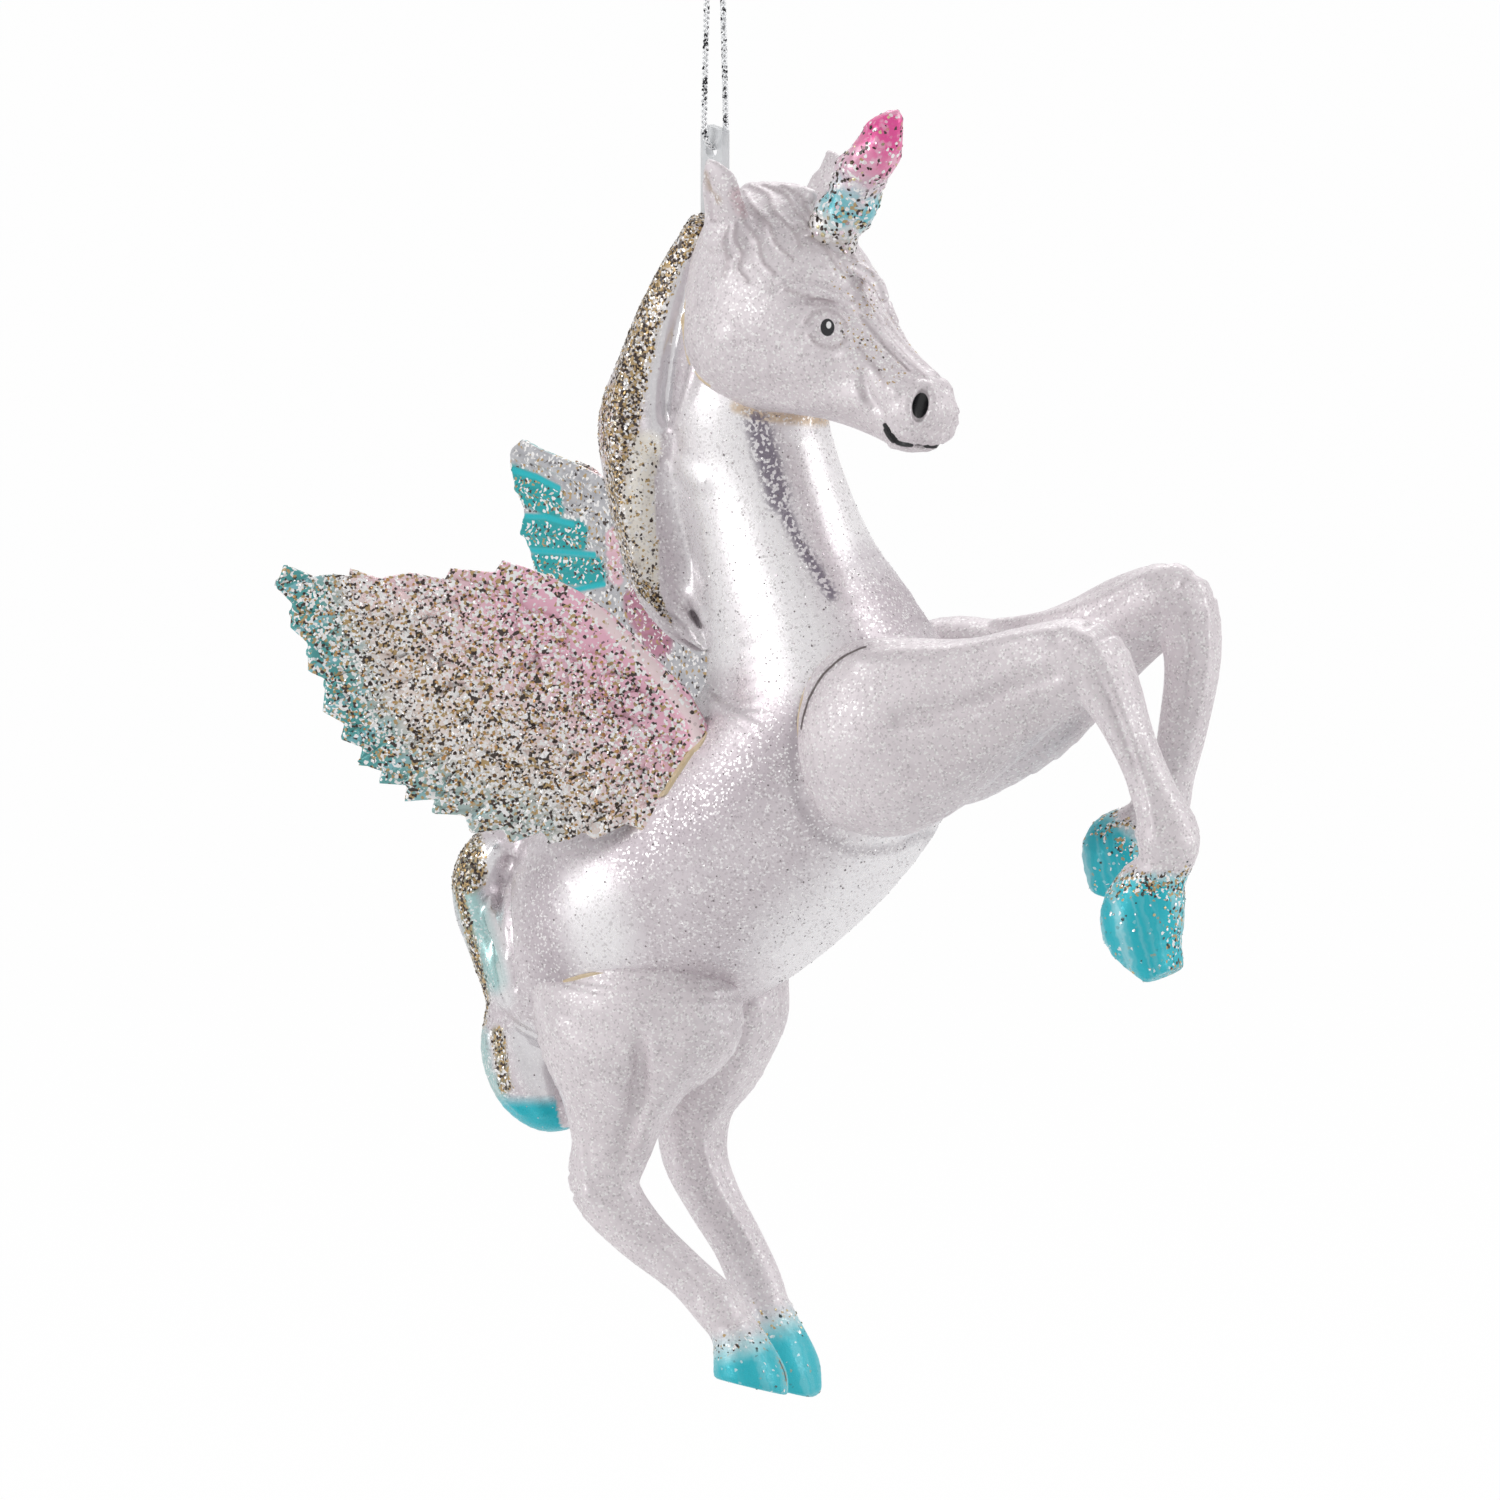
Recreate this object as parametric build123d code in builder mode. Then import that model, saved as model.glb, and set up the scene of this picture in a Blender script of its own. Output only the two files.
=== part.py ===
from build123d import *
import os
from math import cos, pi, radians, sin

# A hanging winged unicorn. One mouth-blown glass shell makes its neck, mane, body and tail. The head,
# the horn, four legs and two wings are castings glued on it. A clear tab in the poll hangs it on a cord.
# The animal faces +X and +Z is up. The origin is in the top of the cord's loop, right under its knot.
# Each table below holds shares of the length that it is named with, measured from the place it is set at.

# The cord and its knot
cord_diameter = 0.8
cord_drop = 25.0  # from the knot's underside down to the hole in the tab
cord_half_gap_top = 1.3  # from the middle to either run where it enters the knot
cord_half_gap_low = 2.1  # the same just above the tab
cord_elbow_rise = 1.6  # how far above the hole each run turns in towards it
cord_half_foot = 0.85
cord_bend = 1.5
knot_radius = 1.8
knot_height = 2.8
knot_tail_length = 4.5
knot_tail_lean = 22.0  # degrees from upright
knot_face_share = 0.8

# The tab
tab_width = 3.6
tab_thickness = 1.4
tab_hole_radius = 0.95
tab_rise = 3.4  # from its hole to its top
tab_depth = 8.5  # from its hole to its foot in the head
tab_top_slant = 0.9
tab_play = 0.2  # between the cord and the top of the hole

# The glass shell
glass_height = 100.0  # from the top of the mane to the foot of the rump
wall = 1.0
glue = 0.3

# The castings
head_length = 45.0
head_turn = 18.0  # degrees towards the right side
ear_length = 8.0
horn_length = 20.0
horn_lean = 33.5  # degrees forward from upright
horn_peg_radius = 1.0
horn_peg_length = 3.5
foreleg_reach = 50.0
foreleg_wall = 1.3  # round the core that lightens each forearm
hind_leg_drop = 50.0
wing_span = 50.0
wing_thickness = 1.5
wing_covert_thickness = 0.6
wing_ridge_radius = 1.7
wing_splay = 22.5  # degrees that a wing opens out behind
left_wing_raise = 12.0  # degrees that the left wing is glued higher

tab_hole_z = -cord_drop
overrun = 5.0

# Along the neck and body: forward, outward to the left, up, half depth, half width
body_shares = [
    (0.030, -0.015, -0.165, 0.064, 0.055),
    (0.036, -0.015, -0.235, 0.084, 0.070),
    (0.046, -0.010, -0.311, 0.101, 0.085),
    (0.051, 0.0, -0.380, 0.105, 0.090),
    (0.076, 0.0, -0.455, 0.106, 0.095),
    (0.104, 0.0, -0.540, 0.119, 0.115),
    (0.139, 0.0, -0.625, 0.142, 0.150),
    (0.162, 0.0, -0.715, 0.167, 0.180),
    (0.112, 0.0, -0.800, 0.169, 0.195),
    (0.014, 0.0, -0.882, 0.174, 0.195),
    (-0.089, 0.0, -0.948, 0.171, 0.185),
    (-0.157, 0.0, -1.027, 0.144, 0.160),
    (-0.196, 0.0, -1.100, 0.094, 0.110),
    (-0.205, 0.0, -1.138, 0.043, 0.050),
]
mane_shares = [
    (-0.006, -0.010, -0.090, 0.020, 0.035),
    (-0.027, -0.010, -0.146, 0.033, 0.048),
    (-0.050, -0.015, -0.208, 0.041, 0.058),
    (-0.072, -0.015, -0.271, 0.046, 0.065),
    (-0.089, -0.015, -0.341, 0.056, 0.070),
    (-0.080, -0.015, -0.416, 0.056, 0.070),
    (-0.069, -0.015, -0.484, 0.048, 0.070),
    (-0.054, -0.010, -0.547, 0.042, 0.065),
    (-0.030, -0.010, -0.593, 0.028, 0.055),
    (-0.008, -0.010, -0.621, 0.011, 0.035),
]
tail_shares = [
    (-0.210, 0.0, -0.875, 0.032, 0.055),
    (-0.268, 0.0, -0.882, 0.040, 0.065),
    (-0.305, 0.0, -0.913, 0.043, 0.070),
    (-0.309, 0.0, -0.958, 0.040, 0.070),
    (-0.294, 0.0, -1.004, 0.038, 0.065),
    (-0.264, 0.0, -1.070, 0.044, 0.065),
    (-0.253, 0.0, -1.128, 0.064, 0.070),
    (-0.239, 0.0, -1.175, 0.062, 0.065),
    (-0.218, 0.0, -1.210, 0.044, 0.050),
    (-0.200, 0.0, -1.229, 0.015, 0.030),
]

# The head, in its own turned frame: forward, outward, up, half depth, half width
head_shares = [
    (-0.010, 0.0, -0.370, 0.240, 0.145),
    (0.090, 0.0, -0.385, 0.305, 0.212),
    (0.205, 0.0, -0.425, 0.328, 0.245),
    (0.345, 0.0, -0.480, 0.272, 0.235),
    (0.470, 0.0, -0.550, 0.196, 0.190),
    (0.585, 0.0, -0.612, 0.148, 0.135),
    (0.690, 0.0, -0.664, 0.124, 0.110),
    (0.765, 0.0, -0.700, 0.115, 0.110),
    (0.820, 0.0, -0.732, 0.078, 0.082),
]
ear_root_share = (0.200, 0.190, -0.155)
ear_shares = [
    (0.0, 0.0, -0.35, 0.34, 0.30),
    (0.02, 0.04, 0.10, 0.31, 0.25),
    (0.02, 0.16, 0.48, 0.22, 0.16),
    (0.0, 0.26, 0.86, 0.07, 0.06),
]
ear_hollow_share = 0.17  # how far forward the hollow sits, of the ear's length
ear_cup_share = 0.62  # the hollow's size, of the ear's
horn_root_share = (0.430, 0.0, -0.240)
horn_radius_shares = (0.160, 0.152, 0.134, 0.126, 0.108, 0.100, 0.078)
horn_end_radius_share = 0.035

# The legs: forward, outward, up, half depth, half width
foreleg_root_share = (0.286, 0.135, -0.717)  # of the glass
right_foreleg_shares = [
    (-0.19, -0.01, -0.04, 0.140, 0.080),
    (-0.12, 0.0, -0.03, 0.210, 0.120),
    (0.0, 0.0, 0.0, 0.250, 0.150),
    (0.13, -0.01, 0.04, 0.224, 0.150),
    (0.28, -0.02, 0.10, 0.168, 0.130),
    (0.42, -0.03, 0.17, 0.128, 0.110),
    (0.54, -0.03, 0.20, 0.110, 0.100),
    (0.605, -0.03, 0.14, 0.079, 0.084),
    (0.665, -0.03, 0.02, 0.056, 0.064),
    (0.725, -0.03, -0.11, 0.056, 0.060),
    (0.765, -0.03, -0.22, 0.078, 0.080),
    (0.750, -0.03, -0.31, 0.060, 0.066),
]
right_fore_hoof_shares = [
    (0.750, -0.03, -0.31, 0.064, 0.070),
    (0.715, -0.03, -0.36, 0.092, 0.092),
    (0.695, -0.03, -0.45, 0.102, 0.108),
    (0.755, -0.03, -0.565, 0.045, 0.080),
]
left_foreleg_shares = [
    (-0.26, -0.01, -0.04, 0.150, 0.080),
    (-0.17, 0.0, -0.02, 0.215, 0.130),
    (-0.02, 0.0, 0.03, 0.235, 0.150),
    (0.16, -0.01, 0.08, 0.189, 0.130),
    (0.33, -0.02, 0.185, 0.138, 0.110),
    (0.48, -0.03, 0.285, 0.112, 0.100),
    (0.585, -0.03, 0.315, 0.094, 0.096),
    (0.625, -0.03, 0.19, 0.071, 0.080),
    (0.60, -0.03, 0.01, 0.061, 0.064),
    (0.57, -0.03, -0.11, 0.056, 0.064),
    (0.54, -0.03, -0.19, 0.069, 0.080),
    (0.49, -0.03, -0.25, 0.062, 0.070),
]
left_fore_hoof_shares = [
    (0.50, -0.03, -0.25, 0.066, 0.074),
    (0.475, -0.03, -0.27, 0.087, 0.092),
    (0.43, -0.03, -0.32, 0.100, 0.108),
    (0.40, -0.03, -0.415, 0.042, 0.080),
]
foreleg_core_rows = 7  # how many rows of a foreleg's table its core runs through
hind_leg_root_share = (-0.065, 0.093, -1.068)  # of the glass
right_hind_leg_shares = [
    (0.01, 0.0, 0.09, 0.185, 0.150),
    (0.0, 0.0, 0.0, 0.245, 0.180),
    (-0.03, 0.0, -0.13, 0.204, 0.160),
    (-0.05, 0.0, -0.24, 0.143, 0.120),
    (-0.07, 0.0, -0.35, 0.105, 0.092),
    (-0.09, 0.0, -0.46, 0.088, 0.084),
    (0.0, 0.0, -0.57, 0.069, 0.068),
    (0.13, 0.0, -0.67, 0.056, 0.060),
    (0.22, 0.0, -0.75, 0.061, 0.070),
    (0.27, 0.0, -0.82, 0.050, 0.060),
]
right_hind_hoof_shares = [
    (0.27, 0.0, -0.81, 0.058, 0.066),
    (0.285, 0.0, -0.85, 0.070, 0.084),
    (0.31, 0.0, -0.92, 0.088, 0.104),
    (0.315, 0.0, -0.95, 0.070, 0.086),
]
left_hind_leg_shares = [
    (0.06, 0.0, 0.08, 0.180, 0.150),
    (0.04, 0.0, -0.04, 0.194, 0.170),
    (0.02, 0.0, -0.17, 0.153, 0.140),
    (-0.01, 0.0, -0.29, 0.097, 0.110),
    (-0.01, 0.0, -0.41, 0.082, 0.090),
    (0.04, 0.0, -0.52, 0.069, 0.080),
    (0.11, 0.0, -0.63, 0.064, 0.068),
    (0.16, 0.0, -0.73, 0.066, 0.064),
    (0.20, 0.0, -0.82, 0.054, 0.064),
]
left_hind_hoof_shares = [
    (0.195, 0.0, -0.80, 0.058, 0.066),
    (0.21, 0.0, -0.85, 0.068, 0.084),
    (0.245, 0.0, -0.94, 0.078, 0.104),
    (0.255, 0.0, -0.975, 0.060, 0.084),
]

# A wing seen from its right side: back along its span, and up
wing_root_share = (0.046, 0.152, -0.677)  # of the glass
wing_outline_shares = [
    (-0.02, -0.07), (0.03, 0.02), (0.14, 0.13), (0.22, 0.21), (0.30, 0.27), (0.37, 0.31),
    (0.44, 0.335), (0.49, 0.35), (0.51, 0.32), (0.62, 0.33), (0.635, 0.30), (0.715, 0.32),
    (0.80, 0.305), (0.87, 0.33), (0.875, 0.30), (0.95, 0.305), (1.035, 0.34), (1.055, 0.28),
    (1.015, 0.24), (1.02, 0.18), (0.975, 0.14), (0.975, 0.07), (0.93, 0.05), (0.94, -0.03),
    (0.885, -0.06), (0.895, -0.10), (0.84, -0.12), (0.85, -0.165), (0.79, -0.17), (0.80, -0.21),
    (0.73, -0.215), (0.735, -0.255), (0.66, -0.25), (0.67, -0.285), (0.585, -0.29), (0.57, -0.335),
    (0.49, -0.325), (0.47, -0.36), (0.39, -0.33), (0.37, -0.36), (0.29, -0.33), (0.26, -0.35),
    (0.18, -0.31), (0.11, -0.335), (0.045, -0.32), (0.0, -0.24), (-0.025, -0.16),
]
wing_covert_shares = [
    (-0.02, -0.08), (0.03, 0.01), (0.14, 0.12), (0.30, 0.26), (0.46, 0.30), (0.60, 0.27), (0.74, 0.23),
    (0.80, 0.10), (0.74, -0.02), (0.62, -0.13), (0.48, -0.21), (0.30, -0.25), (0.12, -0.25), (0.0, -0.20),
]
wing_ridge_shares = [(-0.01, -0.17), (0.01, -0.05), (0.12, 0.09), (0.26, 0.225), (0.42, 0.30)]


def stations_at(shares, unit, root=(0, 0, 0), side=1, grow=0):
    """Each row of a table as a real place with its two half sizes, on the left side or the right."""
    stations = []
    for forward, outward, up, half_depth, half_width in shares:
        middle = Vector(root[0] + forward * unit, side * (root[1] + outward * unit), root[2] + up * unit)
        stations.append((middle, half_depth * unit + grow, half_width * unit + grow))
    return stations


def lofted(stations, first_shift=0, last_shift=0, seam_side=1):
    """A tapering form through ellipses that stand square to its own middle line."""
    middles = [station[0] for station in stations]
    first_step = (middles[0] - middles[1]).normalized() * first_shift
    last_step = (middles[-1] - middles[-2]).normalized() * last_shift
    places = [middles[0] + first_step] + middles[1:-1] + [middles[-1] + last_step]
    with BuildPart() as form:
        for index, station in enumerate(stations):
            before = places[max(index - 1, 0)]
            after = places[min(index + 1, len(places) - 1)]
            with BuildSketch(Plane(origin=places[index], x_dir=(0, seam_side, 0), z_dir=after - before)):
                Ellipse(station[2], station[1])
        loft()
    return form.part


def share_point(share, unit):
    """A place given in shares of a length, measured from the tab's hole."""
    return (share[0] * unit, share[1] * unit, tab_hole_z + share[2] * unit)


def glass_form(shares, grow, first_shift):
    """The body, the mane or the tail, with its skin moved out by grow."""
    stations = stations_at(shares, glass_height, (0, 0, tab_hole_z), 1, grow)
    return lofted(stations, first_shift, grow)


def glass_skin(grow):
    """The whole outside of the glass, moved out by grow."""
    with BuildPart() as skin:
        add(glass_form(body_shares, grow, grow))
        add(glass_form(mane_shares, grow, grow))
        add(glass_form(tail_shares, grow, grow))
    return skin.part


glass_outside = glass_skin(0)
glass_with_glue = glass_skin(glue)

# The blown shell is one hollow with its mouth up in the head.
with BuildPart() as glass_body:
    add(glass_outside)
    add(glass_form(body_shares, -wall, overrun), mode=Mode.SUBTRACT)

# The head stands in a frame of its own, turned about the tab's hole.
head_frame = Plane(origin=(0, 0, tab_hole_z), x_dir=(cos(radians(head_turn)), -sin(radians(head_turn)), 0))


def in_head(part):
    """A form made about the tab's hole, put in the head's turned frame."""
    return head_frame * part


def ear(side):
    """One ear with the hollow in its front."""
    root = [value * head_length for value in ear_root_share]
    cup_shares = []
    for forward, outward, up, half_depth, half_width in ear_shares:
        cup = (half_depth * ear_cup_share, half_width * ear_cup_share)
        cup_shares.append((forward + ear_hollow_share, outward, up, *cup))
    with BuildPart() as ear_form:
        add(lofted(stations_at(ear_shares, ear_length, root, side)))
        add(lofted(stations_at(cup_shares, ear_length, root, side)), mode=Mode.SUBTRACT)
    return ear_form.part


horn_root = Vector(*[value * head_length for value in horn_root_share])
horn_axis = Vector(sin(radians(horn_lean)), 0, cos(radians(horn_lean)))

with BuildPart() as horn_form:
    rings = len(horn_radius_shares)
    for index, radius_share in enumerate(horn_radius_shares):
        ring_middle = horn_root + horn_axis * (horn_length * index / rings)
        with BuildSketch(Plane(origin=ring_middle, x_dir=(0, 1, 0), z_dir=horn_axis)):
            Circle(radius_share * horn_length)
    with BuildSketch(Plane(origin=horn_root + horn_axis * horn_length, x_dir=(0, 1, 0), z_dir=horn_axis)):
        Circle(horn_end_radius_share * horn_length)
    loft()
    with BuildSketch(Plane(origin=horn_root - horn_axis * horn_peg_length, x_dir=(0, 1, 0), z_dir=horn_axis)):
        Circle(horn_peg_radius)
    extrude(amount=horn_peg_length + horn_peg_radius)

with BuildPart() as tab_form:
    with BuildSketch(Plane.XZ.offset(-tab_thickness / 2)):
        with BuildLine():
            Polyline(
                (-tab_width / 2, -tab_depth),
                (tab_width / 2, -tab_depth),
                (tab_width / 2, tab_rise - tab_top_slant),
                (-tab_width / 2, tab_rise),
                close=True,
            )
        make_face()
    extrude(amount=tab_thickness)
    fillet(tab_form.edges().filter_by(Axis.Y).group_by(Axis.Z)[-1], tab_width / 4)
    with Locations(Plane.XZ):
        Hole(tab_hole_radius)

with BuildPart() as tab_slot:
    with BuildSketch(Plane.XY.offset(-tab_depth)):
        Rectangle(tab_width, tab_thickness)
    extrude(amount=tab_depth + tab_rise)

with BuildPart() as head_form:
    add(lofted(stations_at(head_shares, head_length)))
    for side in (-1, 1):
        add(ear(side))
    add(tab_slot.part, mode=Mode.SUBTRACT)

with BuildPart() as hanging_tab:
    add(in_head(tab_form.part))

with BuildPart() as head_raw:
    add(in_head(head_form.part))

with BuildPart() as head:
    add(head_raw.part)
    add(glass_with_glue, mode=Mode.SUBTRACT)
    add(in_head(horn_form.part), mode=Mode.SUBTRACT)

with BuildPart() as horn:
    add(in_head(horn_form.part))


def leg_form(leg_shares, hoof_shares, length, root_share, side):
    """A whole leg with its hoof, its seam on the outer side, before the glass is cut out of it."""
    root = share_point(root_share, glass_height)
    with BuildPart() as form:
        add(lofted(stations_at(leg_shares, length, root, side), seam_side=side))
        add(lofted(stations_at(hoof_shares, length, root, side), seam_side=side))
    return form.part


def foreleg_form(leg_shares, hoof_shares, side):
    """A foreleg, cored out from its seat to the knee so that the animal hangs upright."""
    root = share_point(foreleg_root_share, glass_height)
    core_shares = leg_shares[1:foreleg_core_rows]
    with BuildPart() as form:
        add(leg_form(leg_shares, hoof_shares, foreleg_reach, foreleg_root_share, side))
        add(lofted(stations_at(core_shares, foreleg_reach, root, side, -foreleg_wall)), mode=Mode.SUBTRACT)
    return form.part


def wing_form(side, lift):
    """A wing plate with its raised coverts and the ridge of its leading edge."""
    root = share_point(wing_root_share, glass_height)
    splay = radians(wing_splay)
    level = Vector(-cos(splay), side * sin(splay), 0)
    back = level * cos(radians(lift)) + Vector(0, 0, sin(radians(lift)))
    plate = Plane(origin=(root[0], side * root[1], root[2]), x_dir=back, z_dir=level.cross(Vector(0, 0, 1)))
    with BuildPart() as form:
        with BuildSketch(plate.offset(-wing_thickness / 2)):
            Polygon(*[(s * wing_span, t * wing_span) for s, t in wing_outline_shares], align=None)
        extrude(amount=wing_thickness)
        with BuildSketch(plate.offset(-wing_thickness / 2 - wing_covert_thickness)):
            Polygon(*[(s * wing_span, t * wing_span) for s, t in wing_covert_shares], align=None)
        extrude(amount=wing_thickness + 2 * wing_covert_thickness)
        ridge_points = [plate.from_local_coords((s * wing_span, t * wing_span)) for s, t in wing_ridge_shares]
        with BuildLine():
            ridge = Spline(*ridge_points)
        with BuildSketch(Plane(origin=ridge @ 0, z_dir=ridge % 0)):
            Circle(wing_ridge_radius)
        sweep(path=ridge)
    return form.part


def hind_leg_form(leg_shares, hoof_shares, side):
    """A solid hind leg."""
    return leg_form(leg_shares, hoof_shares, hind_leg_drop, hind_leg_root_share, side)


raw_castings = {
    "right_foreleg": foreleg_form(right_foreleg_shares, right_fore_hoof_shares, -1),
    "left_foreleg": foreleg_form(left_foreleg_shares, left_fore_hoof_shares, 1),
    "right_hind_leg": hind_leg_form(right_hind_leg_shares, right_hind_hoof_shares, -1),
    "left_hind_leg": hind_leg_form(left_hind_leg_shares, left_hind_hoof_shares, 1),
    "right_wing": wing_form(-1, 0),
    "left_wing": wing_form(1, left_wing_raise),
}

os.makedirs("parts", exist_ok=True)


def save(name, part):
    """Labels a finished piece and writes it."""
    part.label = name
    export_step(part, f"parts/{name}.step")
    print(name, "solids", len(part.solids()), "volume", round(part.volume, 1))


for name, raw in raw_castings.items():
    with BuildPart() as casting:
        add(raw)
        add(glass_with_glue, mode=Mode.SUBTRACT)
    save(name, casting.part)

# A thin bed of clear glue fills the seat of every casting and shows as a fine line round it.
# The head's bed goes round the neck alone and leaves the mane free.
neck_skin = glass_form(body_shares, glue, glue)
seats = {name: (raw, glass_with_glue) for name, raw in raw_castings.items()}
seats["neck"] = (head_raw.part, neck_skin)
for name, (raw, skin) in seats.items():
    with BuildPart() as glue_bed:
        add(raw)
        add(skin, mode=Mode.INTERSECT)
        add(glass_outside, mode=Mode.SUBTRACT)
        add(glass_form(body_shares, -wall, overrun), mode=Mode.SUBTRACT)
    save(f"{name}_glue", glue_bed.part)

# The cord runs down on one side of the tab, through its hole and up on the other side.
cord_foot_rise = tab_hole_radius - cord_diameter / 2 - tab_play
swing_z = tab_hole_z + cord_foot_rise
cord_route = [
    (0, -cord_half_gap_top, 0),
    (0, -cord_half_gap_low, swing_z + cord_elbow_rise),
    (0, -cord_half_foot, swing_z),
    (0, cord_half_foot, swing_z),
    (0, cord_half_gap_low, swing_z + cord_elbow_rise),
    (0, cord_half_gap_top, 0),
]
turned = Plane(origin=(0, 0, 0), x_dir=(cos(radians(head_turn)), -sin(radians(head_turn)), 0))
with BuildPart() as hanging_cord:
    with BuildLine(turned):
        route = FilletPolyline(*cord_route, radius=cord_bend)
    with BuildSketch(Plane(origin=route @ 0, z_dir=route % 0)):
        Circle(cord_diameter / 2)
    sweep(path=route)
save("hanging_cord", hanging_cord.part)
whole_volume = pi * cord_diameter**2 / 4 * route.length
print("cord length", route.length, "tightest bend", cord_bend)
print("cord volume over section times length", hanging_cord.part.volume / whole_volume)

# An overhand knot closes the loop, and the two cut ends stand out of its top.
with BuildPart() as cord_knot:
    with BuildSketch(Plane.XZ):
        with BuildLine():
            knot_side = ThreePointArc(
                (knot_radius * knot_face_share, 0),
                (knot_radius, knot_height / 2),
                (knot_radius * knot_face_share, knot_height),
            )
            Polyline(knot_side @ 1, (0, knot_height), (0, 0), knot_side @ 0)
        make_face()
    revolve(axis=Axis.Z)
    for side in (-1, 1):
        lean = radians(knot_tail_lean) * side
        way = Vector(sin(lean) * sin(radians(head_turn)), sin(lean) * cos(radians(head_turn)), cos(lean))
        with BuildSketch(Plane(origin=(0, 0, knot_height / 2), z_dir=way)):
            Circle(cord_diameter / 2)
        extrude(amount=knot_height / 2 + knot_tail_length)
save("cord_knot", cord_knot.part)

save("glass_body", glass_body.part)
save("head", head.part)
save("horn", horn.part)
save("hanging_tab", hanging_tab.part)
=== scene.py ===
# %% [markdown]
# # A hanging winged unicorn
# The real ornament is a blown glass body with a cast head, horn, legs and wings glued on it, hung on a
# metallic cord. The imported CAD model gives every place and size. This file gives the pieces their
# sculpted surface, their feathers, their glitter and their finish. Everything is in the CAD's frame.
# The sculpting is worked out in millimetres, because the pieces are small, and turned into metres last.

# %% The frame
import math

import bmesh
import bpy
import numpy as np
import openvdb
from mathutils import Matrix, Vector


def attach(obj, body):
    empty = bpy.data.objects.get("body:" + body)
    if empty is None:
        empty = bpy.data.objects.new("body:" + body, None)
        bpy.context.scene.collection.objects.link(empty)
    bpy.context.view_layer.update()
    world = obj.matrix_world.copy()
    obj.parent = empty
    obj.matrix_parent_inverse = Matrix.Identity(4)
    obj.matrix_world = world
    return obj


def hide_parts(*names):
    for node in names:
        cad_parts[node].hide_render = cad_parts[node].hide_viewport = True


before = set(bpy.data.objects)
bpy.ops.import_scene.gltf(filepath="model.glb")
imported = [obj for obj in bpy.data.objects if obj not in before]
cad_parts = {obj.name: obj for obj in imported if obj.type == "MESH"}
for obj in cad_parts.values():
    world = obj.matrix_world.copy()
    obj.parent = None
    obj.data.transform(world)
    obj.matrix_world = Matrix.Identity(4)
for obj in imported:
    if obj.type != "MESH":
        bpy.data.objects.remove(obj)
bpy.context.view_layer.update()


def linked(name, data):
    """A new object of the scene that shows this data."""
    thing = bpy.data.objects.new(name, data)
    bpy.context.scene.collection.objects.link(thing)
    return thing


# %% [markdown]
# ## The camera
# The photograph was taken from the animal's right side, 24 degrees round towards its face and 5 degrees
# above level, with a long lens. Three unit vectors say what right, up and into the picture mean in the
# frame. The same vectors later find the point of a piece that shows at a place in the picture.

# %% Camera
MM = 0.001
LOOK_ROUND = math.radians(24)
LOOK_DOWN = math.radians(5)
PICTURE_MM = 187.5
PICTURE_PX = 1500
PX = PICTURE_PX / PICTURE_MM
TAB_PX = (715, 150)
TAB_HOLE = np.array([0.0, 0.0, -25.0])
RIGHT = np.array([math.cos(LOOK_ROUND), math.sin(LOOK_ROUND), 0.0])
INTO = np.array([
    -math.sin(LOOK_ROUND) * math.cos(LOOK_DOWN),
    math.cos(LOOK_ROUND) * math.cos(LOOK_DOWN),
    -math.sin(LOOK_DOWN),
])
UP = np.cross(RIGHT, INTO)


def picture_point(u, v, depth=0.0):
    """The point in mm that shows at a place in the picture, at a depth from the tab's hole."""
    return TAB_HOLE + RIGHT * (u - TAB_PX[0]) / PX + UP * (TAB_PX[1] - v) / PX + INTO * depth


def picture_place(points):
    """Where points in mm show in the picture, in its pixels."""
    moved = np.atleast_2d(points) - TAB_HOLE
    return np.column_stack([TAB_PX[0] + moved @ RIGHT * PX, TAB_PX[1] - moved @ UP * PX])


def from_line(places, line):
    """How far places lie from a line through points, on the picture or in space."""
    best = np.full(len(places), 1e9)
    line = np.asarray(line, float)
    for a, b in zip(line[:-1], line[1:]):
        step = b - a
        t = np.clip((places - a) @ step / (step @ step), 0, 1)
        best = np.minimum(best, np.linalg.norm(places - a - t[:, None] * step, axis=1))
    return best


def fade(distance, near, far):
    """1 within the near distance, 0 beyond the far one."""
    return np.clip((far - distance) / (far - near), 0, 1)


LENS_MM = 600
SENSOR_MM = 36
camera_data = bpy.data.cameras.new("camera")
camera_data.lens = LENS_MM
camera_data.sensor_width = SENSOR_MM
camera_data.clip_end = 60
camera = linked("camera", camera_data)
middle = picture_point(PICTURE_PX / 2, PICTURE_PX / 2)
camera.location = Vector((middle - INTO * PICTURE_MM * LENS_MM / SENSOR_MM) * MM)
camera.rotation_euler = Vector(INTO).to_track_quat("-Z", "Y").to_euler()
bpy.context.scene.camera = camera
bpy.context.scene.view_settings.view_transform = "Standard"
print("camera at", [round(value, 3) for value in camera.location])

# %% [markdown]
# ## Clay
# Muscles, hair and bone have no edges, so they are hard to build from faces. Here a piece is first a block
# of clay: a grid of numbers that say how far each point is from the surface, less than zero inside. Two
# forms join softly where their distances are blended, and a stroke can be laid on or pressed in. OpenVDB
# then draws the skin through zero as a closed mesh.

# %% Clay
FAR = 4.0
JUMP_MM = 2.5


def blend_min(a, b, soft):
    """The nearer of two distances, with the join rounded over the length soft."""
    if soft <= 0:
        return np.minimum(a, b)
    near = np.maximum(soft - np.abs(a - b), 0) / soft
    return np.minimum(a, b) - near * near * soft / 4


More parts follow.
